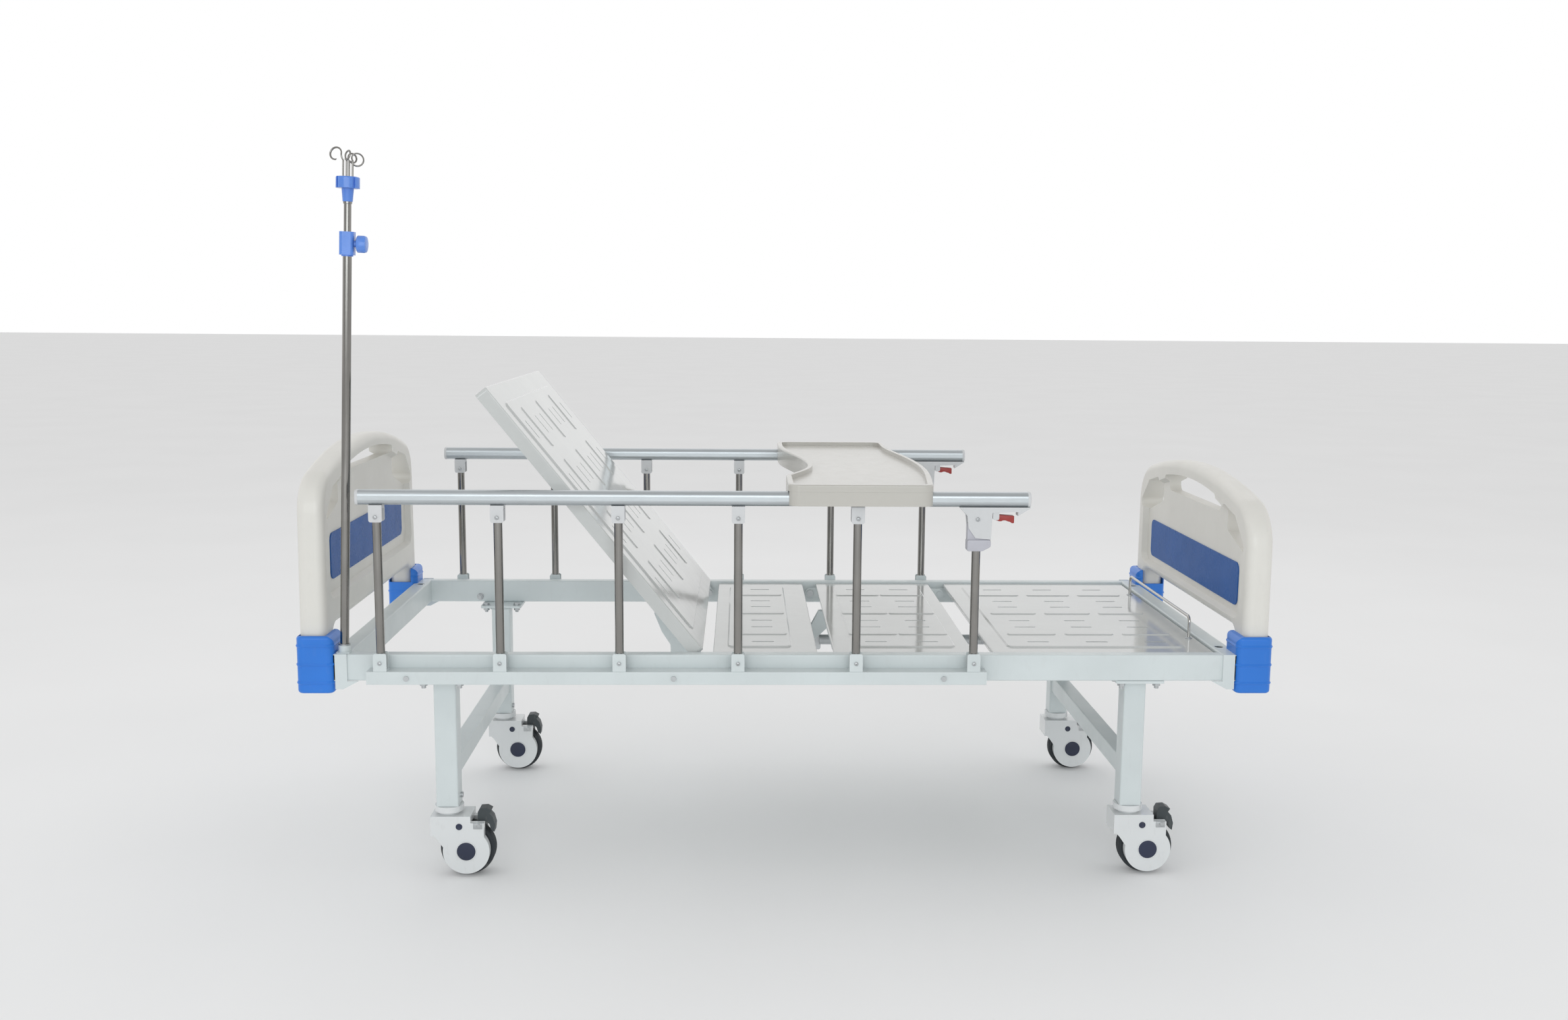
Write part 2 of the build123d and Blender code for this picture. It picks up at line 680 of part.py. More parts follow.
back_pin_rest = back_pivot_x + lever_radius * math.sin(math.radians(back_lever_rest))
back_pin_low = pivot_height - lever_radius
back_pin_high = pivot_height - lever_radius * math.cos(math.radians(back_lever_flat))
leaf("back_push_tube", push_tube(back_pin_rest, back_lever_y, back_pin_low, back_pin_high))
knee_pin_rest = thigh_pivot_x + lever_radius * math.sin(math.radians(knee_lever_rest))
knee_pin_high = pivot_height - lever_radius * math.cos(math.radians(knee_lever_rest))
leaf("knee_pull_tube", push_tube(knee_pin_rest, knee_lever_y, back_pin_low, knee_pin_high))
leaf("back_crank", crank(back_lever_y, -1))
leaf("knee_crank", crank(knee_lever_y, 1))


# =====================================================================  side rails
def pivot_cheeks(x, y, low, high, web_low, web_high, rivet_z):
    """Two cheek plates around a post end, joined by a web, with the rivet through them."""
    with BuildPart() as bracket:
        for side in (-1, 1):
            inner = y + side * cheek_gap
            outer = y + side * (cheek_gap + cheek)
            with BuildSketch(Plane.XZ.offset(-max(inner, outer))):
                with Locations((x, (low + high) / 2)):
                    RectangleRounded(29.0, high - low, 5.0)
            extrude(amount=cheek)
            with BuildSketch(Plane.XZ.offset(-max(outer, outer + side * 2.5))):
                with Locations((x, rivet_z)):
                    Circle(4.5)
            extrude(amount=2.5)
        with BuildSketch(Plane.XY.offset(web_low)):
            with Locations((x, y)):
                Rectangle(29.0, 2 * (cheek_gap + cheek))
        extrude(amount=web_high - web_low)
        with BuildSketch(Plane.XZ.offset(-(y + cheek_gap + 1))):
            with Locations((x, rivet_z)):
                Circle(3.0)
        extrude(amount=2 * cheek_gap + 2)
    return bracket.part


with BuildPart() as rail_bases:
    for side in (-1, 1):
        with BuildPart() as base:
            with BuildSketch(Plane.XY.offset(strip_low)):
                with Locations(((strip_start + strip_end) / 2, side * (frame_half_width + 488) / 2)):
                    Rectangle(strip_end - strip_start, 488 - frame_half_width)
            extrude(amount=strip_high - strip_low)
            fillet(base.edges().filter_by(Axis.X), 2.0)
            for x in post_x:
                add(pivot_cheeks(x, side * rail_y, 500.1, 540.0, 500.1, 504.0, post_foot_z))
        add(base.part)
leaf("rail_bases", rail_bases.part)


def rail_profile(y):
    """Closed outline of the top rail's section on a YZ plane."""
    with Locations((y, (rail_low + rail_high) / 2)):
        RectangleRounded(30.0, rail_high - rail_low, 12.0)


def top_rail(side):
    """Aluminium top rail, hollow, closed by its end caps."""
    with BuildPart() as rail:
        with BuildSketch(Plane.YZ.offset(rail_start)):
            rail_profile(side * rail_y)
        extrude(amount=rail_end - rail_start)
        fillet(rail.edges().group_by(Axis.X)[0] + rail.edges().group_by(Axis.X)[-1], 3.0)
        with BuildSketch(Plane.YZ.offset(rail_start + rail_cap)):
            with Locations((side * rail_y, (rail_low + rail_high) / 2)):
                RectangleRounded(30.0 - 2 * rail_wall, rail_high - rail_low - 2 * rail_wall, 10.0)
        extrude(amount=rail_end - rail_start - 2 * rail_cap, mode=Mode.SUBTRACT)
    return rail.part


trigger_x, trigger_z = 448.0, 847.0
trigger_pin = 1.5


def rail_fittings(side):
    """Plastic brackets under the rail and the latch housing at its foot end."""
    y = side * rail_y
    with BuildPart() as fittings:
        for x in post_x[:-1]:
            add(pivot_cheeks(x, y, 830.0, 866.0, 860.0, rail_low, post_head_z))
        with BuildSketch(Plane.XZ.offset(-(y + 14.5))):
            with BuildLine():
                Polyline(
                    (368, rail_low), (385, 849), (388, 822), (404, 800), (438, 797), (440, 856),
                    (496, 858), (496, 849), (523, 866), (523, rail_low),
                    close=True,
                )
            make_face()
        extrude(amount=29.0)
        # slot that the last post stands in, and the trigger's slot
        with BuildSketch(Plane.XZ.offset(-(y + cheek_gap))):
            with Locations((404.0, 812.0)):
                Rectangle(90.0, 86.0)
        extrude(amount=2 * cheek_gap, mode=Mode.SUBTRACT)
        # cheeks that hold the trigger's pin
        for face in (-cheek_gap - cheek, cheek_gap):
            with BuildSketch(Plane.XZ.offset(-(y + face + cheek))):
                with Locations((trigger_x, trigger_z + 5.0)):
                    RectangleRounded(14.0, 24.0, 4.0)
            extrude(amount=cheek)
        with BuildSketch(Plane.XZ.offset(-(y + cheek_gap + 1.0))):
            with Locations((trigger_x, trigger_z)):
                Circle(trigger_pin)
        extrude(amount=2 * cheek_gap + 2.0)
        with BuildSketch(Plane.XZ.offset(-(y + 16.0))):
            with Locations((post_x[-1], post_head_z)):
                Circle(3.0)
        extrude(amount=32.0)
        with BuildSketch(Plane.XZ.offset(-(y + 16.0))):
            with Locations((post_x[-1], post_head_z)):
                Circle(4.5)
        extrude(amount=1.5)
    return fittings.part


def rail_post(x, y, last):
    """Round steel post with rounded ends, bored for its two rivets."""
    with BuildPart() as post:
        with BuildSketch(Plane.XY.offset(post_foot_z - 9.0)):
            with Locations((x, y)):
                Circle(post_radius)
        extrude(amount=post_head_z - post_foot_z + 18.0)
        fillet(post.edges().group_by(Axis.Z)[0] + post.edges().group_by(Axis.Z)[-1], 3.0)
        if last:
            with BuildSketch(Plane.XZ.offset(-(y + 14.0))):
                with BuildLine():
                    Polyline((387, 795), (387, 772), (419, 772), (437, 781), (437, 795), close=True)
                make_face()
            extrude(amount=28.0)
        with BuildSketch(Plane.XZ.offset(-(y + 20.0))):
            with Locations((x, post_foot_z), (x, post_head_z)):
                Circle(3.0 + running_fit)
        extrude(amount=40.0, mode=Mode.SUBTRACT)
    return post.part


def rail_trigger(side):
    """Finger trigger of the rail latch."""
    with BuildPart() as trigger:
        with BuildSketch(Plane.XZ.offset(-(side * rail_y + 9.0))):
            with BuildLine():
                Polyline(
                    (442, 850), (452, 851), (489, 848), (489, 832), (480, 835), (466, 839), (452, 836),
                    (442, 841),
                    close=True,
                )
            make_face()
            with Locations((trigger_x, trigger_z)):
                Circle(5.0)
                Circle(trigger_pin + running_fit, mode=Mode.SUBTRACT)
        extrude(amount=18.0)
    return trigger.part


for hand, side in (("right", -1), ("left", 1)):
    leaf("rail_" + hand, top_rail(side))
    leaf("rail_fittings_" + hand, rail_fittings(side))
    leaf("rail_trigger_" + hand, rail_trigger(side))
    for number, x in enumerate(post_x, start=1):
        is_last = number == len(post_x)
        leaf("rail_post_" + hand + "_" + str(number), rail_post(x, side * rail_y, is_last))

# =====================================================================  casters
cover_radius = 53.0
cheek_inner, cheek_outer = 18.5, 35.0
pedal_pivot = (30.0, 123.5)


def caster_cover(x, y):
    """Twin-cheek caster fork with its moulded cover, swivel head and axle."""
    hub = x + caster_trail
    with BuildPart() as cover:
        for side in (-1, 1):
            outer_face = max(y + side * cheek_inner, y + side * cheek_outer)
            with BuildSketch(Plane.XZ.offset(-outer_face)):
                with Locations((hub, wheel_radius)):
                    Circle(cover_radius)
                with BuildLine():
                    Polyline(
                        (hub - 80, 145),
                        (hub + 11, 145),
                        (hub + 11, 129),
                        (hub + 41, 129),
                        (hub + 41, 90),
                        (hub, wheel_radius),
                        (hub - 52, 72),
                        (hub - 66, 92),
                        (hub - 80, 108),
                        close=True,
                    )
                make_face()
            extrude(amount=cheek_outer - cheek_inner)
        # roof over the wheel and swivel head
        with BuildSketch(Plane.XY.offset(128.5)):
            with Locations((hub - 34.5, y)):
                Rectangle(91.0, 2 * cheek_outer)
        extrude(amount=16.5)
        with BuildSketch(Plane.XY.offset(100.0)):
            with Locations((hub - 75, y)):
                Rectangle(10.0, 2 * cheek_outer)
        extrude(amount=40.0)
        with BuildSketch(Plane.XY.offset(144.0)):
            with Locations((x, y)):
                Circle(24.0)
        extrude(amount=8.0)
        with BuildSketch(Plane.XY.offset(151.0)):
            with Locations((x, y)):
                Circle(32.5)
        extrude(amount=13.4)
        with BuildSketch(Plane.XY.offset(120.0)):
            with Locations((x, y)):
                Circle(8.0 + running_fit)
        extrude(amount=60.0, mode=Mode.SUBTRACT)
        with BuildSketch(Plane.XZ.offset(-(y + 24.0))):
            with Locations((hub + pedal_pivot[0], pedal_pivot[1])):
                Circle(3.0 + running_fit)
        extrude(amount=48.0, mode=Mode.SUBTRACT)
        with BuildSketch(Plane.XZ.offset(-(y + cheek_inner + 1))):
            with Locations((hub, wheel_radius)):
                Circle(6.0)
        extrude(amount=2 * cheek_inner + 2)
    return cover.part


def caster_wheel(x, y):
    """Rubber-tyred wheel with a bored hub."""
    hub = x + caster_trail
    with BuildPart() as wheel:
        with BuildSketch(Plane.XZ.offset(-(y + wheel_width / 2))):
            with Locations((hub, wheel_radius)):
                Circle(wheel_radius)
        extrude(amount=wheel_width)
        fillet(wheel.edges().filter_by(GeomType.CIRCLE), 8.0)
        with BuildSketch(Plane.XZ.offset(-(y + 20))):
            with Locations((hub, wheel_radius)):
                Circle(6.0 + running_fit)
        extrude(amount=40.0, mode=Mode.SUBTRACT)
    return wheel.part


def brake_pedal(x, y):
    """Foot pedal of the caster brake on its cross pin."""
    hub = x + caster_trail
    outline = (
        (24, 128), (24, 148), (29, 157), (44, 158), (55, 152), (50, 145), (58, 136), (63, 118),
        (61, 101), (54, 106), (50, 120), (42, 127), (34, 119), (27, 120),
    )
    with BuildPart() as pedal:
        with BuildSketch(Plane.XZ.offset(-(y + 14.0))):
            with BuildLine():
                Polyline(*[(hub + px, pz) for px, pz in outline], close=True)
            make_face()
        extrude(amount=28.0)
        with BuildSketch(Plane.XZ.offset(-(y + 23.0))):
            with Locations((hub + pedal_pivot[0], pedal_pivot[1])):
                Circle(3.0)
        extrude(amount=46.0)
    return pedal.part


for end, x in leg_x.items():
    for hand, side in (("right", -1), ("left", 1)):
        corner = end + "_" + hand
        leaf("caster_cover_" + corner, caster_cover(x, side * leg_y))
        leaf("caster_wheel_" + corner, caster_wheel(x, side * leg_y))
        leaf("caster_pedal_" + corner, brake_pedal(x, side * leg_y))

# =====================================================================  drip pole
pole_tilt = math.radians(pole_lean)
pole_axis = Vector(math.sin(pole_tilt), 0, math.cos(pole_tilt))
pole_plane = Plane(
    origin=(pole_x, pole_y, frame_top),
    x_dir=(math.cos(pole_tilt), 0, -math.sin(pole_tilt)),
    z_dir=pole_axis,
)
lower_radius, lower_bore = 9.5, 8.2
upper_radius = 7.9
socket_depth = 16.0
clamp_low, clamp_high = 870.0, 919.0
upper_start, upper_end = 300.0, 1012.0

with BuildPart() as pole_socket:
    with BuildSketch(pole_plane.offset(1.0)):
        Circle(socket_half)
        Circle(lower_radius + running_fit, mode=Mode.SUBTRACT)
    extrude(amount=socket_depth)
    with BuildSketch(Plane.XY.offset(frame_top)):
        with Locations((pole_x, pole_y)):
            RectangleRounded(30.0, 36.0, 5.0)
    extrude(amount=3.0)
leaf("pole_socket", pole_socket.part)

with BuildPart() as pole_lower:
    with BuildSketch(pole_plane.offset(4.0)):
        Circle(lower_radius)
        Circle(lower_bore, mode=Mode.SUBTRACT)
    extrude(amount=clamp_high - 4.0 - 6.0)
leaf("pole_lower", pole_lower.part)

with BuildPart() as pole_clamp:
    with BuildSketch(pole_plane.offset(clamp_low)):
        RectangleRounded(31.0, 30.0, 8.0)
        Circle(lower_radius, mode=Mode.SUBTRACT)
    extrude(amount=clamp_high - clamp_low - 6.0)
    with BuildSketch(pole_plane.offset(clamp_high - 6.0)):
        RectangleRounded(31.0, 30.0, 8.0)
        Circle(upper_radius + 0.35, mode=Mode.SUBTRACT)
    extrude(amount=6.0)
leaf("pole_clamp", pole_clamp.part)

knob_radius = 19.0
knob_plane = Plane(
    origin=pole_plane.origin + pole_axis * (clamp_low + 24.0), x_dir=(0, 1, 0), z_dir=pole_plane.x_dir
)
with BuildPart() as pole_knob:
    with BuildSketch(knob_plane.offset(16.0)):
        Circle(7.0)
    extrude(amount=10.0)
    with BuildSketch(knob_plane.offset(22.0)):
        Circle(knob_radius)
    extrude(amount=20.0)
    fillet(pole_knob.faces().sort_by(Axis.X)[-1].edges(), 7.0)
leaf("pole_knob", pole_knob.part)

with BuildPart() as pole_upper:
    with BuildSketch(pole_plane.offset(upper_start)):
        Circle(upper_radius)
    extrude(amount=upper_end - upper_start)
leaf("pole_upper", pole_upper.part)

hub_low, hub_high, hub_radius = 982.0, 1034.0, 25.0
with BuildPart() as pole_hub:
    with BuildSketch(pole_plane.offset(hub_low)):
        Circle(10.5)
    extrude(amount=28.0, taper=-5.0)
    with BuildSketch(pole_plane.offset(hub_low + 28.0)):
        Circle(hub_radius)
    extrude(amount=hub_high - hub_low - 28.0)
    fillet(pole_hub.faces().sort_by(Axis.Z)[-1].edges(), 3.0)
    with BuildSketch(pole_plane.offset(hub_low - 1)):
        Circle(upper_radius + 0.02)
    extrude(amount=upper_end - hub_low + 1, mode=Mode.SUBTRACT)
    # four notches round the rim
    with BuildSketch(pole_plane.offset(hub_low + 20.0)):
        with PolarLocations(hub_radius, 4, start_angle=45):
            Rectangle(8.0, 6.0)
    extrude(amount=hub_high, mode=Mode.SUBTRACT)
    with BuildSketch(pole_plane.offset(hub_high)):
        with PolarLocations(10.0, 4):
            Circle(2.2)
    extrude(amount=-14.0, mode=Mode.SUBTRACT)
leaf("pole_hub", pole_hub.part)

hook_wire = 2.1
with BuildPart() as drip_hooks:
    for quarter in range(4):
        turn = math.radians(90 * quarter)
        outward = pole_plane.x_dir * math.cos(turn) + pole_plane.y_dir * math.sin(turn)
        upright = Plane(
            origin=pole_plane.origin + pole_axis * hub_high, x_dir=outward, z_dir=outward.cross(pole_axis)
        )
        with BuildPart() as hook:
            with BuildLine(upright) as hook_path:
                stem = Line((10.0, -13.0), (10.0, 34.0))
                rise = TangentArc((10.0, 34.0), (14.0, 48.0), tangent=(0, 1))
                JernArc(rise @ 1, rise % 1, 14.0, -285)
            with BuildSketch(Plane(origin=hook_path.line @ 0, z_dir=hook_path.line % 0)):
                Circle(hook_wire)
            sweep()
        add(hook.part)
leaf("drip_hooks", drip_hooks.part)

# =====================================================================  over-bed tray
tray_top = 908.0
tray_rim = 918.0
tray_skirt = 871.0
tray_half = 505.0
tray_wall = 5.0


def tray_outline(grow, corner):
    """Plan outline: belly cut-out on the head side, gentle bulge on the foot side."""
    near, far = -(tray_half + grow), tray_half + grow
    head_x, near_foot_x, far_foot_x = -6.0 - grow, 308.0 + grow, 292.0 + grow
    with BuildSketch() as outline:
        with BuildLine():
            Line((head_x, far), (head_x, 400))
            Spline(
                (head_x, 400),
                (20 - grow, 190),
                (52 - grow, -20),
                (44 - grow, -170),
                (head_x, -320),
                tangents=[(0, -1), (-0.35, -1)],
            )
            Line((head_x, -320), (head_x, near))
            Line((head_x, near), (near_foot_x, near))
            Spline(
                (near_foot_x, near),
                (334 + grow, -170),
                (318 + grow, 120),
                (far_foot_x, 350),
                (far_foot_x, far),
                tangents=[(0.1, 1), (0, 1)],
            )
            Line((far_foot_x, far), (head_x, far))
        make_face()
        ends = outline.vertices().group_by(Axis.Y)
        fillet(ends[0] + ends[-1], corner)
    return outline.sketch


plate_low = 902.0
with BuildPart() as overbed_tray:
    with BuildSketch(Plane.XY.offset(plate_low)):
        add(tray_outline(0, 26.0))
    extrude(amount=tray_rim - plate_low)
    fillet(overbed_tray.faces().sort_by(Axis.Z)[-1].edges(), 4.0)
    with BuildSketch(Plane.XY.offset(tray_top)):
        add(tray_outline(-12, 20.0))
    extrude(amount=tray_rim, mode=Mode.SUBTRACT)
    # skirt below the plate, notched over each rail
    with BuildPart() as skirt:
        with BuildSketch(Plane.XY.offset(tray_skirt)):
            add(tray_outline(0, 26.0))
        extrude(amount=plate_low - 0.1 - tray_skirt)
        with BuildSketch(Plane.XY.offset(tray_skirt)):
            add(tray_outline(-tray_wall, 21.0))
        extrude(amount=plate_low - tray_skirt, mode=Mode.SUBTRACT)
        for side in (-1, 1):
            with BuildSketch(Plane.YZ.offset(-60)):
                with Locations((side * rail_y, (tray_skirt + plate_low) / 2)):
                    Rectangle(33.0, plate_low - tray_skirt + 2)
            extrude(amount=500.0, mode=Mode.SUBTRACT)
    add(skirt.part)
leaf("overbed_tray", overbed_tray.part)
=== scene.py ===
import itertools
import json
import logging
import math
from dataclasses import dataclass
from enum import Enum
from typing import Iterable, Optional, Sequence

import bmesh
import bpy
from mathutils import Matrix, Vector


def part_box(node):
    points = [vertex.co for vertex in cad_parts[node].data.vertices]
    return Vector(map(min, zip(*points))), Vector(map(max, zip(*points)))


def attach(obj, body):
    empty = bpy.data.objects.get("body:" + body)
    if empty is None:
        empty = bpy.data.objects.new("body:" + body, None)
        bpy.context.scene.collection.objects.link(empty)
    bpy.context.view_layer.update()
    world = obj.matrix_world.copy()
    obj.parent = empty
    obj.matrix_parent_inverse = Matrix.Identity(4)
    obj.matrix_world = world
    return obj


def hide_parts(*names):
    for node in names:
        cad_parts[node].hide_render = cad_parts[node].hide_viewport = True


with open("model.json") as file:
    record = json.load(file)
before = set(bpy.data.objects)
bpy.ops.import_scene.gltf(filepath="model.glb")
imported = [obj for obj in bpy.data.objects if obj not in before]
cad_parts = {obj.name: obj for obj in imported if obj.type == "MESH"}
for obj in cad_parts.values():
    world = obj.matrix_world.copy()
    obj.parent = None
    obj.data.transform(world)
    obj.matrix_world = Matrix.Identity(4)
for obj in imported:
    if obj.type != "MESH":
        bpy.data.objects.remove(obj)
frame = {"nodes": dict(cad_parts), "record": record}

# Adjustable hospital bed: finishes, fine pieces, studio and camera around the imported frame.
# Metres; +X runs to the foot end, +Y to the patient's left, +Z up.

log = logging.getLogger("hospital_bed")
logging.basicConfig(level=logging.INFO, format="%(message)s")

Colour = tuple[float, float, float]
Triple = tuple[float, float, float]
Outline = tuple[tuple[float, float], ...]
HANDS = ("right", "left")
BOTH_SIDES = (-1, 1)


# ------------------------------------------------------------------------------------- finishes
class Grain(Enum):
    """Which way a drawn or brushed metal's lines run."""

    ALONG_X = (0.02, 1.0, 1.0)
    ALONG_Z = (1.0, 1.0, 0.02)
    ROUND = (1.0, 1.0, 1.0)


class NodeDesk:
    """Builds one material's nodes around its Principled shader."""

    def __init__(self, name: str) -> None:
        """Starts an empty material.

        Args:
            name: name of the new material.
        """
        self.material = bpy.data.materials.new(name)
        self.material.use_nodes = True
        self.tree = self.material.node_tree
        self.shader = self.tree.nodes["Principled BSDF"]
        self.coords = self.tree.nodes.new("ShaderNodeTexCoord").outputs["Object"]

    def set(self, **sockets: object) -> None:
        """Sets constants straight on the shader's sockets.

        Args:
            sockets: socket name, with _ for spaces, and its value.
        """
        for name, value in sockets.items():
            self.shader.inputs[name.replace("_", " ")].default_value = value

    def mapped(self, scale: Triple) -> bpy.types.NodeSocket:
        """Object coordinates stretched by a factor on each axis.

        Args:
            scale: factor on X, Y and Z.

        Returns:
            The mapped vector socket.
        """
        node = self.tree.nodes.new("ShaderNodeMapping")
        node.inputs["Scale"].default_value = scale
        self.tree.links.new(self.coords, node.inputs["Vector"])
        return node.outputs["Vector"]

    def noise(
        self, size: float, detail: float = 3.0, scale: Triple = (1.0, 1.0, 1.0)
    ) -> bpy.types.NodeSocket:
        """Noise whose blobs are about size metres across.

        Args:
            size: blob size in metres.
            detail: octaves of finer noise.
            scale: stretch of the pattern on each axis.

        Returns:
            The noise factor socket.
        """
        node = self.tree.nodes.new("ShaderNodeTexNoise")
        node.inputs["Scale"].default_value = 1.0 / size
        node.inputs["Detail"].default_value = detail
        self.tree.links.new(self.mapped(scale), node.inputs["Vector"])
        return node.outputs["Fac"]

    def ramp(
        self, factor: bpy.types.NodeSocket, stops: Sequence[tuple[float, Colour]]
    ) -> bpy.types.NodeSocket:
        """Colour ramp over a factor.

        Args:
            factor: socket that drives the ramp.
            stops: place and colour of each stop.

        Returns:
            The ramp's colour socket.
        """
        node = self.tree.nodes.new("ShaderNodeValToRGB")
        elements = node.color_ramp.elements
        while len(elements) < len(stops):
            elements.new(0.5)
        for element, (place, colour) in zip(elements, stops):
            element.position = place
            element.color = (*colour, 1.0)
        self.tree.links.new(factor, node.inputs["Fac"])
        return node.outputs["Color"]

    def span(self, factor: bpy.types.NodeSocket, low: float, high: float) -> bpy.types.NodeSocket:
        """Maps the middle of a noise factor, where nearly all of it lies, to a range of values.

        Args:
            factor: socket to map.
            low: value where the noise is low.
            high: value where the noise is high.

        Returns:
            The mapped value socket.
        """
        node = self.tree.nodes.new("ShaderNodeMapRange")
        ends = {"From Min": 0.35, "From Max": 0.65, "To Min": low, "To Max": high}
        for name, value in ends.items():
            node.inputs[name].default_value = value
        self.tree.links.new(factor, node.inputs["Value"])
        return node.outputs["Result"]

    def mix(
        self, factor: bpy.types.NodeSocket, first: bpy.types.NodeSocket, second: Colour
    ) -> bpy.types.NodeSocket:
        """Mixes a colour socket towards a plain colour.

        Args:
            factor: how much of the second shows.
            first: colour socket underneath.
            second: colour laid over it.

        Returns:
            The mixed colour socket.
        """
        node = self.tree.nodes.new("ShaderNodeMixRGB")
        node.inputs["Color2"].default_value = (*second, 1.0)
        self.tree.links.new(factor, node.inputs["Fac"])
        self.tree.links.new(first, node.inputs["Color1"])
        return node.outputs["Color"]

    def bump(
        self,
        height: bpy.types.NodeSocket,
        depth: float,
        strength: float = 0.6,
        under: Optional[bpy.types.NodeSocket] = None,
    ) -> bpy.types.NodeSocket:
        """Bump from a height socket.

        Args:
            height: socket of the relief.
            depth: relief depth in metres.
            strength: how strongly it shades.
            under: normal of a coarser bump below this one.

        Returns:
            The normal socket.
        """
        node = self.tree.nodes.new("ShaderNodeBump")
        node.inputs["Strength"].default_value = strength
        node.inputs["Distance"].default_value = depth
        self.tree.links.new(height, node.inputs["Height"])
        if under is not None:
            self.tree.links.new(under, node.inputs["Normal"])
        return node.outputs["Normal"]

    def clamp(self, factor: bpy.types.NodeSocket) -> bpy.types.NodeSocket:
        """Keeps a value between nothing and one.

        Args:
            factor: socket to clamp.

        Returns:
            The clamped value socket.
        """
        node = self.tree.nodes.new("ShaderNodeClamp")
        self.tree.links.new(factor, node.inputs["Value"])
        return node.outputs["Result"]

    def link(self, socket: bpy.types.NodeSocket, name: str) -> None:
        """Links a socket to one of the shader's inputs.

        Args:
            socket: output to link.
            name: name of the shader's input.
        """
        self.tree.links.new(socket, self.shader.inputs[name])


def tint(colour: Colour, factor: float) -> Colour:
    """A colour made lighter or darker by a factor, kept within one.

    Args:
        colour: the colour.
        factor: what each of its parts is multiplied by.

    Returns:
        The new colour.
    """
    return tuple(min(1.0, c * factor) for c in colour)


@dataclass(frozen=True)
class Coating:
    """Paint, enamel or moulded plastic: a tone that drifts, a sheen that varies, a fine relief.

    Fields give the base colour, its drift, the roughness range, the relief's size and depth, a
    long soft waviness of the sheet, the clear coat, and how much settled dust or scuffing shows.
    """

    name: str
    colour: Colour
    drift: float = 0.05
    rough: tuple[float, float] = (0.30, 0.42)
    relief_size: float = 0.0009
    relief_depth: float = 0.00003
    wave_size: float = 0.09
    wave_depth: float = 0.0
    coat: float = 0.0
    scuff: float = 0.25
    scuff_colour: Colour = (0.42, 0.41, 0.39)
    specular: float = 0.5
    coat_rough: float = 0.08
    tone_size: float = 0.16
    mark_size: float = 0.012
    sheen_size: float = 0.035

    def build(self) -> bpy.types.Material:
        """Makes the material.

        Returns:
            The finished material.
        """
        desk = NodeDesk(self.name)
        desk.set(
            Coat_Weight=self.coat, Coat_Roughness=self.coat_rough, Specular_IOR_Level=self.specular
        )
        tone = desk.noise(self.tone_size, 4.0)
        low, high = tint(self.colour, 1.0 - self.drift), tint(self.colour, 1.0 + self.drift * 0.6)
        base = desk.ramp(tone, ((0.32, low), (0.68, high)))
        # only the highest few of the long marks come out of the clamp
        marks = desk.noise(self.mark_size, 8.0, (1.0, 1.0, 0.35))
        worn = desk.clamp(desk.span(marks, -self.scuff * 0.9, self.scuff * 0.22))
        desk.link(desk.mix(worn, base, self.scuff_colour), "Base Color")
        desk.link(desk.span(desk.noise(self.sheen_size, 6.0), *self.rough), "Roughness")
        under = None
        if self.wave_depth > 0:
            under = desk.bump(desk.noise(self.wave_size, 1.5), self.wave_depth, 0.5)
        relief = desk.noise(self.relief_size, 2.0)
        desk.link(desk.bump(relief, self.relief_depth, 0.5, under), "Normal")
        return desk.material


@dataclass(frozen=True)
class Metal:
    """Bare metal: fine drawn lines, a cloudy sheen and faint handling marks."""

    name: str
    colour: Colour
    rough: tuple[float, float] = (0.20, 0.34)
    grain: Grain = Grain.ALONG_Z
    line_size: float = 0.0007
    line_depth: float = 0.00002
    stain: float = 0.12
    cloud_size: float = 0.06
    sheen_size: float = 0.02

    def build(self) -> bpy.types.Material:
        """Makes the material.

        Returns:
            The finished material.
        """
        desk = NodeDesk(self.name)
        desk.set(Metallic=1.0)
        cloud = desk.noise(self.cloud_size, 5.0)
        base = desk.ramp(cloud, ((0.3, tint(self.colour, 1.0 - self.stain)), (0.7, self.colour)))
        lines = desk.noise(self.line_size, 3.0, self.grain.value)
        desk.link(desk.mix(desk.span(lines, 0.0, 0.16), base, tint(self.colour, 0.6)), "Base Color")
        sheen = desk.noise(self.sheen_size, 6.0, self.grain.value)
        desk.link(desk.span(sheen, *self.rough), "Roughness")
        desk.link(desk.bump(lines, self.line_depth, 0.4), "Normal")
        return desk.material


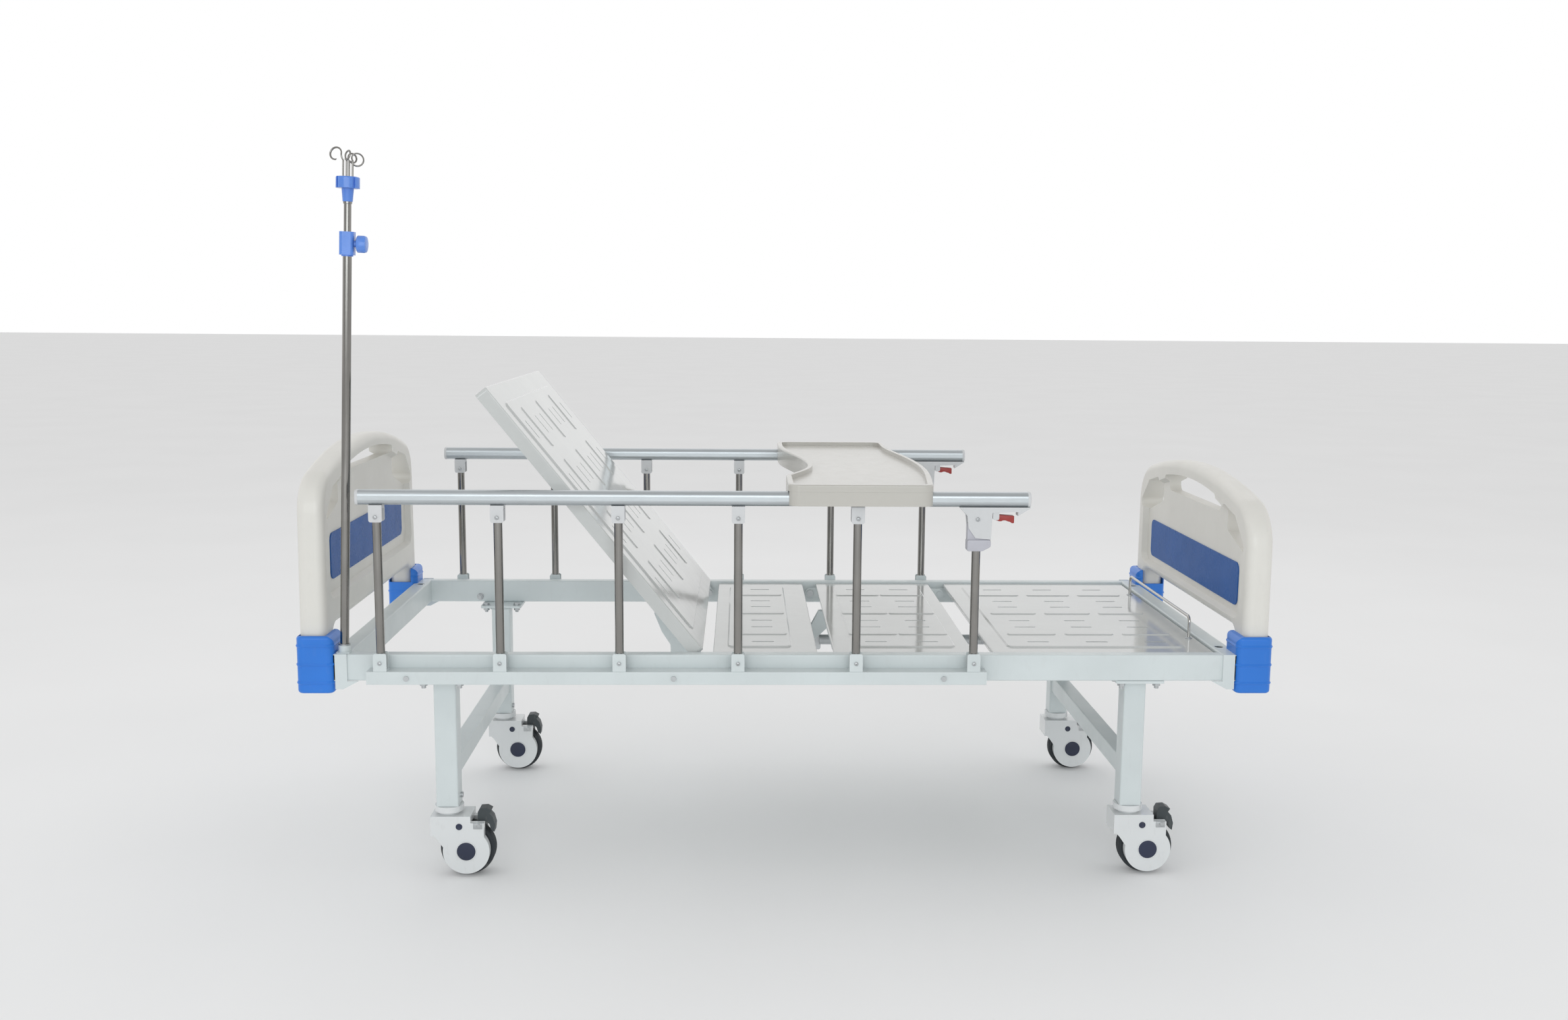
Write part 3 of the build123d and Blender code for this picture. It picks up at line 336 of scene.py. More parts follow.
class Palette:
    """Every finish of the bed, built once and looked up by the record's slot name."""

    finishes: tuple[Coating | Metal, ...] = (
        Coating(
            "frame_white", (0.66, 0.715, 0.72), drift=0.045, rough=(0.30, 0.40), relief_size=0.0011,
            relief_depth=0.00006, scuff=0.18,
        ),
        Coating(
            "board_cream", (0.74, 0.725, 0.68), drift=0.03, rough=(0.34, 0.42), relief_size=0.0007,
            coat=0.08, scuff=0.14,
        ),
        Coating(
            "panel_blue", (0.026, 0.112, 0.37), drift=0.08, rough=(0.24, 0.30), relief_size=0.0006,
            relief_depth=0.00002, scuff=0.05, specular=0.05,
        ),
        Coating(
            "block_blue", (0.024, 0.195, 0.70), drift=0.07, rough=(0.28, 0.35), relief_size=0.0008,
            coat=0.12, scuff=0.08, specular=0.4,
        ),
        # deck_enamel: set darker than the frame's white as painted shade, so the deck's upward-facing
        # surfaces come out dimmer; the deck's own paint is a white like the frame's
        Coating(
            "deck_enamel", (0.57, 0.585, 0.575), drift=0.04, rough=(0.08, 0.13), relief_size=0.0016,
            relief_depth=0.00004, wave_size=0.07, wave_depth=0.0009, coat=0.35, scuff=0.14,
        ),
        Metal(
            "zinc_steel", (0.60, 0.62, 0.63), rough=(0.30, 0.48), grain=Grain.ROUND,
            line_size=0.0016, line_depth=0.00003, stain=0.2,
        ),
        # polished_steel: the steel's own grey, darkened and browned as painted reflection of a dark
        # brown room along the posts and the ferrule
        Metal("polished_steel", (0.30, 0.29, 0.275), rough=(0.09, 0.18)),
        Metal(
            "rail_aluminium", (0.55, 0.585, 0.605), rough=(0.36, 0.44), grain=Grain.ALONG_X,
            line_size=0.0008, stain=0.05,
        ),
        Coating(
            "fitting_grey", (0.64, 0.65, 0.66), rough=(0.42, 0.55), relief_size=0.0006,
            relief_depth=0.00005, scuff=0.2,
        ),
        Coating(
            "trigger_red", (0.36, 0.035, 0.03), drift=0.14, rough=(0.34, 0.46), relief_size=0.0006,
            coat=0.1, scuff=0.1,
        ),
        Coating(
            "caster_white", (0.74, 0.76, 0.765), drift=0.04, rough=(0.20, 0.27), relief_size=0.0007,
            relief_depth=0.00002, coat=0.35, scuff=0.3,
        ),
        Coating(
            "tyre_grey", (0.035, 0.04, 0.045), drift=0.25, rough=(0.60, 0.78), relief_size=0.0012,
            relief_depth=0.00012, scuff=0.5, specular=0.3,
        ),
        Coating(
            "pedal_grey", (0.045, 0.055, 0.06), drift=0.18, rough=(0.42, 0.56), relief_size=0.0008,
            relief_depth=0.00008, scuff=0.3,
        ),
        Coating(
            "pole_blue", (0.10, 0.25, 0.72), drift=0.08, rough=(0.24, 0.36), relief_size=0.0007,
            relief_depth=0.00002, coat=0.3, scuff=0.1,
        ),
        # tray_ivory: the tray's own ivory made darker as painted shade that dims its strongly lit
        # upward-facing top; the edges are darkened with it
        Coating(
            "tray_ivory", (0.53, 0.515, 0.475), drift=0.025, rough=(0.20, 0.25),
            relief_depth=0.00002, coat=0.15, scuff=0.06,
        ),
        Coating(
            "disc_navy", (0.012, 0.02, 0.055), drift=0.2, relief_size=0.0006, relief_depth=0.00002,
            coat=0.3, scuff=0.1,
        ),
        Coating(
            "sleeve_lilac", (0.50, 0.50, 0.55), rough=(0.4, 0.5), relief_size=0.0007,
            relief_depth=0.00004, scuff=0.15,
        ),
        Coating(
            "block_shade", (0.012, 0.05, 0.26), drift=0.1, rough=(0.36, 0.5), relief_size=0.0008,
            relief_depth=0.00004, scuff=0.1,
        ),
        Coating(
            "grip_black", (0.02, 0.021, 0.023), drift=0.2, rough=(0.4, 0.55), relief_size=0.0008,
            relief_depth=0.00006, scuff=0.2,
        ),
        Metal("rod_steel", (0.56, 0.55, 0.53), rough=(0.12, 0.24), grain=Grain.ALONG_X),
    )

    def __init__(self) -> None:
        """Builds every material."""
        self.materials = {finish.name: finish.build() for finish in self.finishes}

    def paint(self, piece: bpy.types.Object, name: str) -> None:
        """Gives a piece one finish in place of whatever it had.

        Args:
            piece: object to dress.
            name: finish name.
        """
        piece.data.materials.clear()
        piece.data.materials.append(self.materials[name])


# ------------------------------------------------------------------------------------ workshop
def turned_to(axis: Triple, origin: Triple) -> Matrix:
    """Matrix that takes Z to an axis and the origin to a point.

    Args:
        axis: direction that Z is turned to.
        origin: point that the origin is moved to.

    Returns:
        The matrix.
    """
    return Matrix.Translation(Vector(origin)) @ Vector(axis).to_track_quat("Z", "Y").to_matrix().to_4x4()


def upright(y: float) -> Matrix:
    """Matrix that stands a plate up along X and Z.

    Args:
        y: where the plate's far face lies.

    Returns:
        The matrix.
    """
    return Matrix.Translation((0, y, 0)) @ Matrix.Rotation(math.pi / 2, 4, "X")


class Bench:
    """One new piece under construction, as a bmesh in the frame's own metres."""

    def __init__(self, name: str) -> None:
        """Starts an empty mesh.

        Args:
            name: name of the piece.
        """
        self.name = name
        self.mesh = bmesh.new()

    def lathe(self, profile: Outline, place: Matrix, steps: int = 48) -> None:
        """Turns a profile of (radius, height) points about its own Z.

        Args:
            profile: points from the bottom centre round to the top.
            place: matrix from the lathe's own axes to the frame.
            steps: facets round the axis.
        """
        points = [self.mesh.verts.new((r, 0.0, z)) for r, z in profile]
        edges = [self.mesh.edges.new(pair) for pair in zip(points, points[1:])]
        made = bmesh.ops.spin(
            self.mesh, geom=points + edges, cent=(0, 0, 0), axis=(0, 0, 1), angle=math.tau,
            steps=steps, use_merge=True, use_duplicate=False,
        )
        verts = {v for v in made["geom_last"] if isinstance(v, bmesh.types.BMVert)} | set(points)
        island = self.island(verts)
        bmesh.ops.remove_doubles(self.mesh, verts=list(island), dist=1e-6)
        island = self.island({v for v in verts if v.is_valid})
        faces = {f for v in island for f in v.link_faces}
        bmesh.ops.recalc_face_normals(self.mesh, faces=list(faces))
        bmesh.ops.transform(self.mesh, matrix=place, verts=list(island))

    def island(self, seeds: Iterable[bmesh.types.BMVert]) -> set[bmesh.types.BMVert]:
        """Every vertex joined to the seeds by edges.

        Args:
            seeds: vertices to start from.

        Returns:
            The seeds and all that their edges lead to.
        """
        found, open_ends = set(seeds), list(seeds)
        while open_ends:
            for edge in open_ends.pop().link_edges:
                for vert in edge.verts:
                    if vert not in found:
                        found.add(vert)
                        open_ends.append(vert)
        return found

    def block(self, low: Triple, high: Triple, round_by: float = 0.001, segments: int = 3) -> None:
        """A box with rounded edges between two corners.

        Args:
            low: lowest corner.
            high: highest corner.
            round_by: edge radius.
            segments: steps across each rounded edge.
        """
        size = Vector(high) - Vector(low)
        middle = (Vector(high) + Vector(low)) / 2
        made = bmesh.ops.create_cube(self.mesh, size=1.0)["verts"]
        bmesh.ops.transform(
            self.mesh, matrix=Matrix.Translation(middle) @ Matrix.Diagonal((*size, 1.0)), verts=made
        )
        edges = list({e for v in made for e in v.link_edges})
        bmesh.ops.bevel(
            self.mesh, geom=edges, offset=round_by, offset_type="OFFSET", segments=segments,
            profile=0.5, affect="EDGES", material=-1, clamp_overlap=True,
        )

    def plate(
        self, outline: Outline, thickness: float, place: Matrix,
        corner: float = 0.0, edge: float = 0.0008, corner_steps: int = 5,
    ) -> None:
        """A flat outline given thickness, with rounded corners and edges.

        Args:
            outline: points on the plate's own XY plane.
            thickness: height along its own Z.
            place: matrix from the plate's own axes to the frame.
            corner: radius of the outline's corners.
            edge: radius of the face edges.
            corner_steps: steps round each corner.
        """
        face = self.mesh.faces.new([self.mesh.verts.new((x, y, 0.0)) for x, y in outline])
        verts = list(face.verts)
        if corner > 0:
            made = bmesh.ops.bevel(
                self.mesh, geom=verts, offset=corner, offset_type="OFFSET", segments=corner_steps,
                profile=0.5, affect="VERTICES", material=-1, clamp_overlap=True,
            )
            verts = list(self.island(made["verts"]))
        faces = list({f for v in verts for f in v.link_faces})
        raised = bmesh.ops.extrude_face_region(self.mesh, geom=faces)["geom"]
        top = [v for v in raised if isinstance(v, bmesh.types.BMVert)]
        bmesh.ops.translate(self.mesh, vec=(0, 0, thickness), verts=top)
        island = self.island(top)
        faces = list({f for v in island for f in v.link_faces})
        bmesh.ops.recalc_face_normals(self.mesh, faces=faces)
        if edge > 0:
            rims = [
                e for e in {e for v in island for e in v.link_edges}
                if len({round(v.co.z, 6) for v in e.verts}) == 1
            ]
            made = bmesh.ops.bevel(
                self.mesh, geom=rims, offset=edge, offset_type="OFFSET", segments=2, profile=0.5,
                affect="EDGES", material=-1, clamp_overlap=True,
            )
            island = self.island(made["verts"])
        bmesh.ops.transform(self.mesh, matrix=place, verts=list(island))

    def finish(
        self, palette: Palette, finish: str, slot: str, body: str, replaced: Sequence[str] = (),
        smooth_below: float = 35.0,
    ) -> bpy.types.Object:
        """Turns the bench's mesh into a dressed piece that rides on a body.

        Args:
            palette: the bed's finishes.
            finish: finish to paint it with.
            slot: the record's material slot it belongs to; not used.
            body: CAD body it rides on.
            replaced: CAD nodes that it stands for.
            smooth_below: edges flatter than this many degrees shade smooth.

        Returns:
            The new object.
        """
        data = bpy.data.meshes.new(self.name)
        self.mesh.to_mesh(data)
        self.mesh.free()
        piece = bpy.data.objects.new(self.name, data)
        bpy.context.scene.collection.objects.link(piece)
        for polygon in data.polygons:
            polygon.use_smooth = True
        data.set_sharp_from_angle(angle=math.radians(smooth_below))
        palette.paint(piece, finish)
        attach(piece, body)
        if replaced:
            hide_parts(*replaced)
        log.info("piece %s on %s", self.name, body)
        return piece


# ------------------------------------------------------------------------------- sub-assemblies
@dataclass
class CarriedNodes:
    """The CAD nodes that show as they are, dressed by their record slot."""

    palette: Palette

    def dress(self) -> None:
        """Paints every CAD node with its slot's finish."""
        slots = {row["node"]: row["material_slot"] for row in frame["record"]["subparts"]}
        for name, node in frame["nodes"].items():
            self.palette.paint(node, slots[name])
            log.info("node %s in %s", name, slots[name])
        self.palette.paint(frame["nodes"]["mattress_stop"], "rod_steel")


@dataclass
class Caster:
    """Trim of one caster: discs, caps, brake strap, hub and grooved tyre."""

    palette: Palette
    end: str
    hand: str
    disc: Outline = ((0, 0), (0.0215, 0), (0.0215, 0.0009), (0.0195, 0.0012), (0, 0.0018))
    disc_rim: Outline = (
        (0.0205, 0), (0.0235, 0), (0.0235, 0.0012), (0.0229, 0.0019), (0.0221, 0.0019),
        (0.0213, 0.0012), (0.0205, 0),
    )
    cap: Outline = (
        (0, 0), (0.0075, 0), (0.0075, 0.0010), (0.006, 0.0014), (0.0035, 0.0006), (0, 0.0006),
    )
    cap_back: float = 0.015
    cap_height: float = 0.121
    bolt_head: Outline = ((0, 0), (0.0052, 0), (0.0052, 0.0018), (0.0038, 0.003), (0, 0.0032))
    bolt_ahead: float = 0.030
    bolt_height: float = 0.1235
    strap_ahead: tuple[float, float] = (0.017, 0.0375)
    strap_height: tuple[float, float] = (0.1155, 0.1295)
    strap_faces: tuple[float, float] = (0.0004, 0.0016)
    strap_edge: float = 0.0007
    bolt_seat: float = 0.0014
    sink: float = 0.0002
    axle_radius: float = 0.00605
    hub_radius: float = 0.0445
    tyre_radius: float = 0.0625
    tyre_half_width: float = 0.016
    groove_inner: float = 0.0018
    groove_outer: float = 0.0042
    groove_depth: float = 0.0009

    def __post_init__(self) -> None:
        """Reads where the caster stands from its CAD nodes."""
        self.label = f"{self.end}_{self.hand}"
        low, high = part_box("caster_wheel_" + self.label)
        self.hub = (low + high) / 2
        cover_low, cover_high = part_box("caster_cover_" + self.label)
        self.faces = (cover_low.y, cover_high.y)

    def build(self) -> None:
        """Builds and dresses every piece."""
        self._discs()
        self._caps()
        self._wheel()
        self._strap()

    def _discs(self) -> None:
        """Plain domed discs over the axle ends, with a thin raised rim."""
        for finish, slot, name, profile in (
            ("disc_navy", "pedal_grey", "caster_disc_", self.disc),
            ("caster_white", "caster_white", "caster_disc_rim_", self.disc_rim),
        ):
            bench = Bench(name + self.label)
            for y, out in zip(self.faces, BOTH_SIDES):
                spot = (self.hub.x, y - out * self.sink, self.hub.z)
                bench.lathe(profile, turned_to((0, out, 0), spot))
            bench.finish(self.palette, finish, slot, "caster_" + self.label)

    def _caps(self) -> None:
        """Dark recessed caps over the fork's upper bolt."""
        bench = Bench("caster_cap_" + self.label)
        for y, out in zip(self.faces, BOTH_SIDES):
            spot = (self.hub.x - self.cap_back, y - out * self.sink, self.cap_height)
            bench.lathe(self.cap, turned_to((0, out, 0), spot), 32)
        bench.finish(self.palette, "disc_navy", "pedal_grey", "caster_" + self.label)

    def _tyre_profile(self) -> Outline:
        """Section of the tyre from one flank to the other, with two grooves in its tread."""
        radius, half = self.tyre_radius, self.tyre_half_width
        floor = radius - self.groove_depth
        slope = 0.0006
        tread = (
            (radius, self.groove_inner), (floor, self.groove_inner + slope),
            (floor, self.groove_outer - slope), (radius, self.groove_outer), (radius, half * 0.6),
            (radius - 0.0022, half * 0.86), (radius - 0.006, half), (self.hub_radius, half * 0.94),
        )
        flank = tuple((r, -z) for r, z in reversed(tread))
        return flank + tread + flank[:1]

    def _hub_profile(self) -> Outline:
        """Section of the hub: boss, thin web and rim."""
        half, rim = self.tyre_half_width, self.hub_radius + 0.0004
        right = (
            (rim, half * 0.9), (0.0395, half * 0.9), (0.038, half * 0.45), (0.0145, half * 0.55),
            (0.014, half), (self.axle_radius, half),
        )
        left = tuple((r, -z) for r, z in reversed(right))
        return left + right + left[:1]

    def _wheel(self) -> None:
        """Grooved rubber tyre on a plastic hub, in place of the plain wheel."""
        place = turned_to((0, 1, 0), tuple(self.hub))
        body = "wheel_" + self.label
        tyre = Bench("tyre_" + self.label)
        tyre.lathe(self._tyre_profile(), place, 72)
        tyre.finish(self.palette, "tyre_grey", "tyre_grey", body, ("caster_wheel_" + self.label,))
        hub = Bench("wheel_hub_" + self.label)
        hub.lathe(self._hub_profile(), place, 64)
        hub.finish(self.palette, "fitting_grey", "tyre_grey", body)

    def _strap(self) -> None:
        """Zinc strap that carries the brake pedal, with its cross-bolt head."""
        bench = Bench("brake_strap_" + self.label)
        start, end = self.strap_ahead
        bottom, top = self.strap_height
        inside, outside = self.strap_faces
        for y, out in zip(self.faces, BOTH_SIDES):
            near, far = sorted((y - out * inside, y + out * outside))
            low, high = (self.hub.x + start, near, bottom), (self.hub.x + end, far, top)
            bench.block(low, high, self.strap_edge)
            spot = (self.hub.x + self.bolt_ahead, y + out * self.bolt_seat, self.bolt_height)
            bench.lathe(self.bolt_head, turned_to((0, out, 0), spot), 24)
        bench.finish(self.palette, "zinc_steel", "zinc_steel", "caster_" + self.label)


@dataclass
class SideRail:
    """Trim of one folding side rail: end caps, the last post's latch sleeve, trigger and screws.

    Each rounding gives a plate's corner radius and edge radius.
    """

    palette: Palette
    hand: str
    rail_half_width: float = 0.015
    cap_proud: float = 0.0006
    cap_depth: float = 0.006
    cap_out: float = 0.0012
    cap_rounding: tuple[float, float] = (0.0122, 0.0022)
    sleeve: Outline = (
        (0.3866, 0.7712), (0.4194, 0.7712), (0.4376, 0.7806), (0.4376, 0.8000), (0.4268, 0.8318),
        (0.3866, 0.8318),
    )
    sleeve_width: float = 0.0202
    skirt: Outline = (
        (0.3862, 0.7708), (0.4195, 0.7708), (0.4380, 0.7804), (0.4380, 0.7958), (0.3862, 0.7958),
    )
    skirt_width: float = 0.0292
    sleeve_rounding: tuple[float, float] = (0.004, 0.0016)
    finger: Outline = (
        (0.4424, 0.8505), (0.4530, 0.8512), (0.4888, 0.8486), (0.4888, 0.8326), (0.4838, 0.8322),
        (0.4800, 0.8352), (0.4750, 0.8362), (0.4702, 0.8384), (0.4650, 0.8386), (0.4602, 0.8364),
        (0.4552, 0.8366), (0.4500, 0.8386), (0.4424, 0.8416),
    )
    finger_width: float = 0.018
    finger_rounding: tuple[float, float] = (0.0016, 0.0018)
    screw: Outline = (
        (0, 0), (0.0046, 0), (0.0046, 0.0008), (0.0036, 0.0018), (0.0014, 0.0022),
        (0.0009, 0.0012), (0, 0.0012),
    )
    posts: int = 6
    post_radius: float = 0.0095
    last_post_x: float = 0.408
    head_z: float = 0.8414
    foot_z: float = 0.5186
    bracket_half: float = 0.0154
    housing_half: float = 0.0152

    def __post_init__(self) -> None:
        """Reads where the rail lies."""
        self.low, self.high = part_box("rail_" + self.hand)
        self.y = (self.low.y + self.high.y) / 2

    def build(self) -> None:
        """Builds and dresses every piece."""
        self._caps()
        self._sleeve()
        self._trigger()
        self._screws("rail_screws_", "rail_" + self.hand, self.head_z, self.housing_half)
        self._screws("foot_screws_", "root", self.foot_z, self.bracket_half)

    def _caps(self) -> None:
        """Soft grey plugs over both ends of the aluminium section."""
        bench = Bench("rail_caps_" + self.hand)
        middle = (self.high.z + self.low.z) / 2
        half_w = self.rail_half_width + self.cap_proud
        half_h = (self.high.z - self.low.z) / 2 + self.cap_proud
        outline = ((-half_w, -half_h), (half_w, -half_h), (half_w, half_h), (-half_w, half_h))
        quarter = math.pi / 2
        for x, out in zip((self.low.x, self.high.x), BOTH_SIDES):
            shift = Matrix.Translation((x - out * self.cap_depth, self.y, middle))
            place = shift @ Matrix.Rotation(quarter * out, 4, "Y") @ Matrix.Rotation(quarter, 4, "Z")
            bench.plate(outline, self.cap_depth + self.cap_out, place, *self.cap_rounding, 8)
        bench.finish(self.palette, "fitting_grey", "fitting_grey", "rail_" + self.hand)

    def _sleeve(self) -> None:
        """Moulded latch sleeve round the head of the last post."""
        bench = Bench("latch_sleeve_" + self.hand)
        for outline, width in ((self.sleeve, self.sleeve_width), (self.skirt, self.skirt_width)):
            bench.plate(outline, width, upright(self.y + width / 2), *self.sleeve_rounding)
        bench.finish(self.palette, "sleeve_lilac", "fitting_grey", f"post_{self.hand}_{self.posts}")

    def _trigger(self) -> None:
        """Red finger trigger with three soft waves, in place of the plain one."""
        bench = Bench("finger_trigger_" + self.hand)
        place = upright(self.y + self.finger_width / 2)
        bench.plate(self.finger, self.finger_width, place, *self.finger_rounding)
        body, node = "trigger_" + self.hand, "rail_trigger_" + self.hand
        bench.finish(self.palette, "trigger_red", "trigger_red", body, (node,))

    def _screws(self, name: str, body: str, height: float, last_half: float) -> None:
        """Cross-head screws over the rivets of one row of brackets.

        Args:
            name: start of the piece's name.
            body: CAD body that the brackets belong to.
            height: height of the rivets.
            last_half: half width of the last bracket, where its screw sits.
        """
        bench = Bench(name + self.hand)
        for number in range(1, self.posts + 1):
            last = number == self.posts
            low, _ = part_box(f"rail_post_{self.hand}_{number}")
            x = self.last_post_x if last else low.x + self.post_radius
            half = last_half if last else self.bracket_half
            for out in BOTH_SIDES:
                bench.lathe(self.screw, turned_to((0, out, 0), (x, self.y + out * half, height)), 20)
        bench.finish(self.palette, "zinc_steel", "zinc_steel", body)


@dataclass
class LiftingScrew:
    """One crank: threaded rod with collars, cast arm and a ribbed folding grip."""

    palette: Palette
    name: str
    reach_side: int
    rod_radius: float = 0.008
    collar_radius: float = 0.013
    collars: Outline = ((0.9446, 0.9546), (0.9634, 0.9734))
    collar_edge: float = 0.0008
    rod_end: float = 1.034
    arm_x: float = 1.024
    arm_half: float = 0.0117
    arm_thick: float = 0.010
    arm_length: float = 0.104
    arm_rounding: tuple[float, float] = (0.0115, 0.0018)
    thread_pitch: float = 0.008
    thread_start: float = 0.66
    thread_end: float = 0.938
    thread_steps: int = 16
    ribs: int = 5

    def __post_init__(self) -> None:
        """Reads where the crank lies."""
        self.low, self.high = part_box(self.name)
        near = self.low.y if self.reach_side > 0 else self.high.y
        self.y = near + self.reach_side * self.collar_radius
        self.z = (self.low.z + self.high.z) / 2

    def build(self) -> None:
        """Builds and dresses every piece."""
        steel = Bench(self.name + "_rod")
        along = turned_to((1, 0, 0), (0, self.y, self.z))
        steel.lathe(self._rod_profile(), along, 40)
        self._thread(steel, along)
        steel.finish(self.palette, "rod_steel", "zinc_steel", self.name)
        arm = Bench(self.name + "_arm")
        half, tip = self.arm_half, self.arm_length + self.arm_half
        outline = ((-half, -half), (half, -half), (half, tip), (-half, tip))
        place = Matrix.Translation((self.arm_x, self.y, self.z)) @ Matrix.Rotation(math.pi / 2, 4, "Y")
        if self.reach_side < 0:
            place = place @ Matrix.Rotation(math.pi, 4, "Z")
        arm.plate(outline, self.arm_thick, place, *self.arm_rounding, 8)
        arm.finish(self.palette, "zinc_steel", "zinc_steel", self.name, (self.name,))
        self._grip(self.arm_x + self.arm_thick)

    def _rod_profile(self) -> Outline:
        """Section of the rod: a pointed end, the threaded length and two thrust collars."""
        radius, low, edge = self.rod_radius, self.low.x, self.collar_edge
        core = radius - 0.0008
        profile = [(0, low), (radius - 0.0018, low), (core, low + 0.001)]
        profile += [(core, self.thread_end), (radius, self.thread_end)]
        for start, end in self.collars:
            profile += [
                (radius, start), (self.collar_radius - edge, start), (self.collar_radius, start + edge),
                (self.collar_radius, end - edge), (self.collar_radius - edge, end), (radius, end),
            ]
        return (*profile, (radius, self.rod_end), (0, self.rod_end))

    def _thread(self, bench: Bench, along: Matrix) -> None:
        """Winds a raised thread round the rod.

        Args:
            bench: bench that holds the rod.
            along: matrix from the rod's own axis to the frame.
        """
        crest, pitch, steps = self.rod_radius, self.thread_pitch, self.thread_steps
        root = crest - 0.0011
        turns = int((self.thread_end - self.thread_start) / pitch)
        profile = ((root, -0.0026), (crest, -0.0014), (crest, 0.0014), (root, 0.0026))
        points = [bench.mesh.verts.new((x, 0.0, self.thread_start + z)) for x, z in profile]
        edges = [bench.mesh.edges.new(pair) for pair in zip(points, points[1:])]
        made = bmesh.ops.spin(
            bench.mesh, geom=points + edges, cent=(0, 0, 0), axis=(0, 0, 1), angle=math.tau * turns,
            dvec=(0, 0, pitch / steps), steps=steps * turns, use_merge=False, use_duplicate=False,
        )
        seeds = {v for v in made["geom_last"] if isinstance(v, bmesh.types.BMVert)}
        bmesh.ops.transform(bench.mesh, matrix=along, verts=list(bench.island(seeds)))

    def _grip(self, start: float) -> None:
        """Ribbed plastic grip on the arm's end.

        Args:
            start: where the grip begins along X.
        """
        grip = Bench(self.name + "_grip")
        end = self.high.x
        profile = [(0.0, start), (0.0118, start), (0.0126, start + 0.001)]
        step = (end - start - 0.012) / self.ribs
        for rib in range(self.ribs):
            x = start + 0.003 + rib * step
            profile += [
                (0.0130, x + step * 0.15), (0.0130, x + step * 0.65),
                (0.0116, x + step * 0.78), (0.0116, x + step * 0.92),
            ]
        profile += [(0.0124, end - 0.007), (0.0118, end - 0.003), (0.0085, end - 0.0006), (0.0, end)]
        place = turned_to((1, 0, 0), (0, self.y + self.reach_side * self.arm_length, self.z))
        grip.lathe(tuple(profile), place, 40)
        grip.finish(self.palette, "grip_black", "pedal_grey", self.name)


@dataclass(frozen=True)
class Collar:
    """One ring round the drip pole."""

    name: str
    finish: str
    slot: str
    body: str
    height: float
    inner: float
    outer: float
    depth: float
    edge: float = 0.0006

    def profile(self) -> Outline:
        """The ring's section, with its two outer edges broken."""
        inner, outer, depth, edge = self.inner, self.outer, self.depth, self.edge
        return (
            (inner, 0), (outer - edge, 0), (outer, edge), (outer, depth - edge),
            (outer - edge, depth), (inner, depth), (inner, 0),
        )


@dataclass
class DripPole:
    """Trim of the drip pole: fluted clamp knob and the rings at its joints."""

    palette: Palette
    lean: float = math.radians(2.33)
    foot: Triple = (-0.987, -0.428, 0.530)
    knob_height: float = 0.894
    knob: Outline = (
        (0, 0.0155), (0.007, 0.0155), (0.0068, 0.0215), (0.0175, 0.0222), (0.0187, 0.0235),
        (0.0187, 0.036), (0.0165, 0.0405), (0.012, 0.0418), (0, 0.0412),
    )
    # thin dark ring laid over the knob's back shoulder: painted shade where the knob faces the pole
    knob_shade_ring: Outline = (
        (0.0072, 0.0216), (0.0168, 0.0216), (0.0168, 0.0221), (0.0072, 0.0219), (0.0072, 0.0216),
    )
    flutes: int = 12
    flute_depth: float = 0.045
    fluted_beyond: float = 0.017
    fluted_between: tuple[float, float] = (0.0225, 0.039)
    collars: tuple[Collar, ...] = (
        Collar("socket_collar", "zinc_steel", "zinc_steel", "root", 0.0172, 0.0099, 0.0132, 0.003),
        Collar("clamp_ring_low", "pole_blue", "pole_blue", "pole", 0.8672, 0.0096, 0.0126, 0.003),
        Collar(
            "hub_ferrule", "polished_steel", "polished_steel", "pole_mast",
            0.9775, 0.0080, 0.0094, 0.005,
        ),
    )

    def along(self, distance: float) -> Vector:
        """The point at a distance up the leaning pole."""
        return Vector(self.foot) + self._axis() * distance

    def _axis(self) -> Vector:
        """The pole's own direction."""
        return Vector((math.sin(self.lean), 0, math.cos(self.lean)))

    def _side(self) -> Vector:
        """Square to the pole, towards the foot end."""
        return Vector((math.cos(self.lean), 0, -math.sin(self.lean)))

    def build(self) -> None:
        """Builds and dresses every piece."""
        self._knob()
        self._collars()

    def _knob(self) -> None:
        """Fluted knob with a domed face, and a thin dark ring of painted shade over its back shoulder,
        towards the pole.
        """
        place = turned_to(tuple(self._side()), tuple(self.along(self.knob_height)))
        bench = Bench("clamp_knob")
        bench.lathe(self.knob, place, self.flutes * 4)
        self._flute(bench, place)
        bench.finish(self.palette, "pole_blue", "pole_blue", "pole_knob", ("pole_knob",), 50.0)
        # dark ring in the block_shade finish on the back shoulder: painted shade
        back = Bench("clamp_knob_shade_ring")
        back.lathe(self.knob_shade_ring, place, 36)
        back.finish(self.palette, "block_shade", "pole_blue", "pole_knob")

    def _flute(self, bench: Bench, place: Matrix) -> None:
        """Presses the flutes into the knob's side.

        Args:
            bench: bench that holds the knob.
            place: matrix from the knob's own axes to the frame.
        """
        inverse = place.inverted()
        low, high = self.fluted_between
        for vert in bench.mesh.verts:
            local = inverse @ vert.co
            if math.hypot(local.x, local.y) > self.fluted_beyond and low < local.z < high:
                turn = math.atan2(local.y, local.x) * self.flutes
                wave = 1.0 - self.flute_depth * (0.5 + 0.5 * math.cos(turn))
                vert.co = place @ Vector((local.x * wave, local.y * wave, local.z))

    def _collars(self) -> None:
        """Rolled collar at the socket, a ring under the clamp and a ferrule under the hook hub."""
        for collar in self.collars:
            bench = Bench(collar.name)
            place = turned_to(tuple(self._axis()), tuple(self.along(collar.height)))
            bench.lathe(collar.profile(), place, 40)
            bench.finish(self.palette, collar.finish, collar.slot, collar.body)


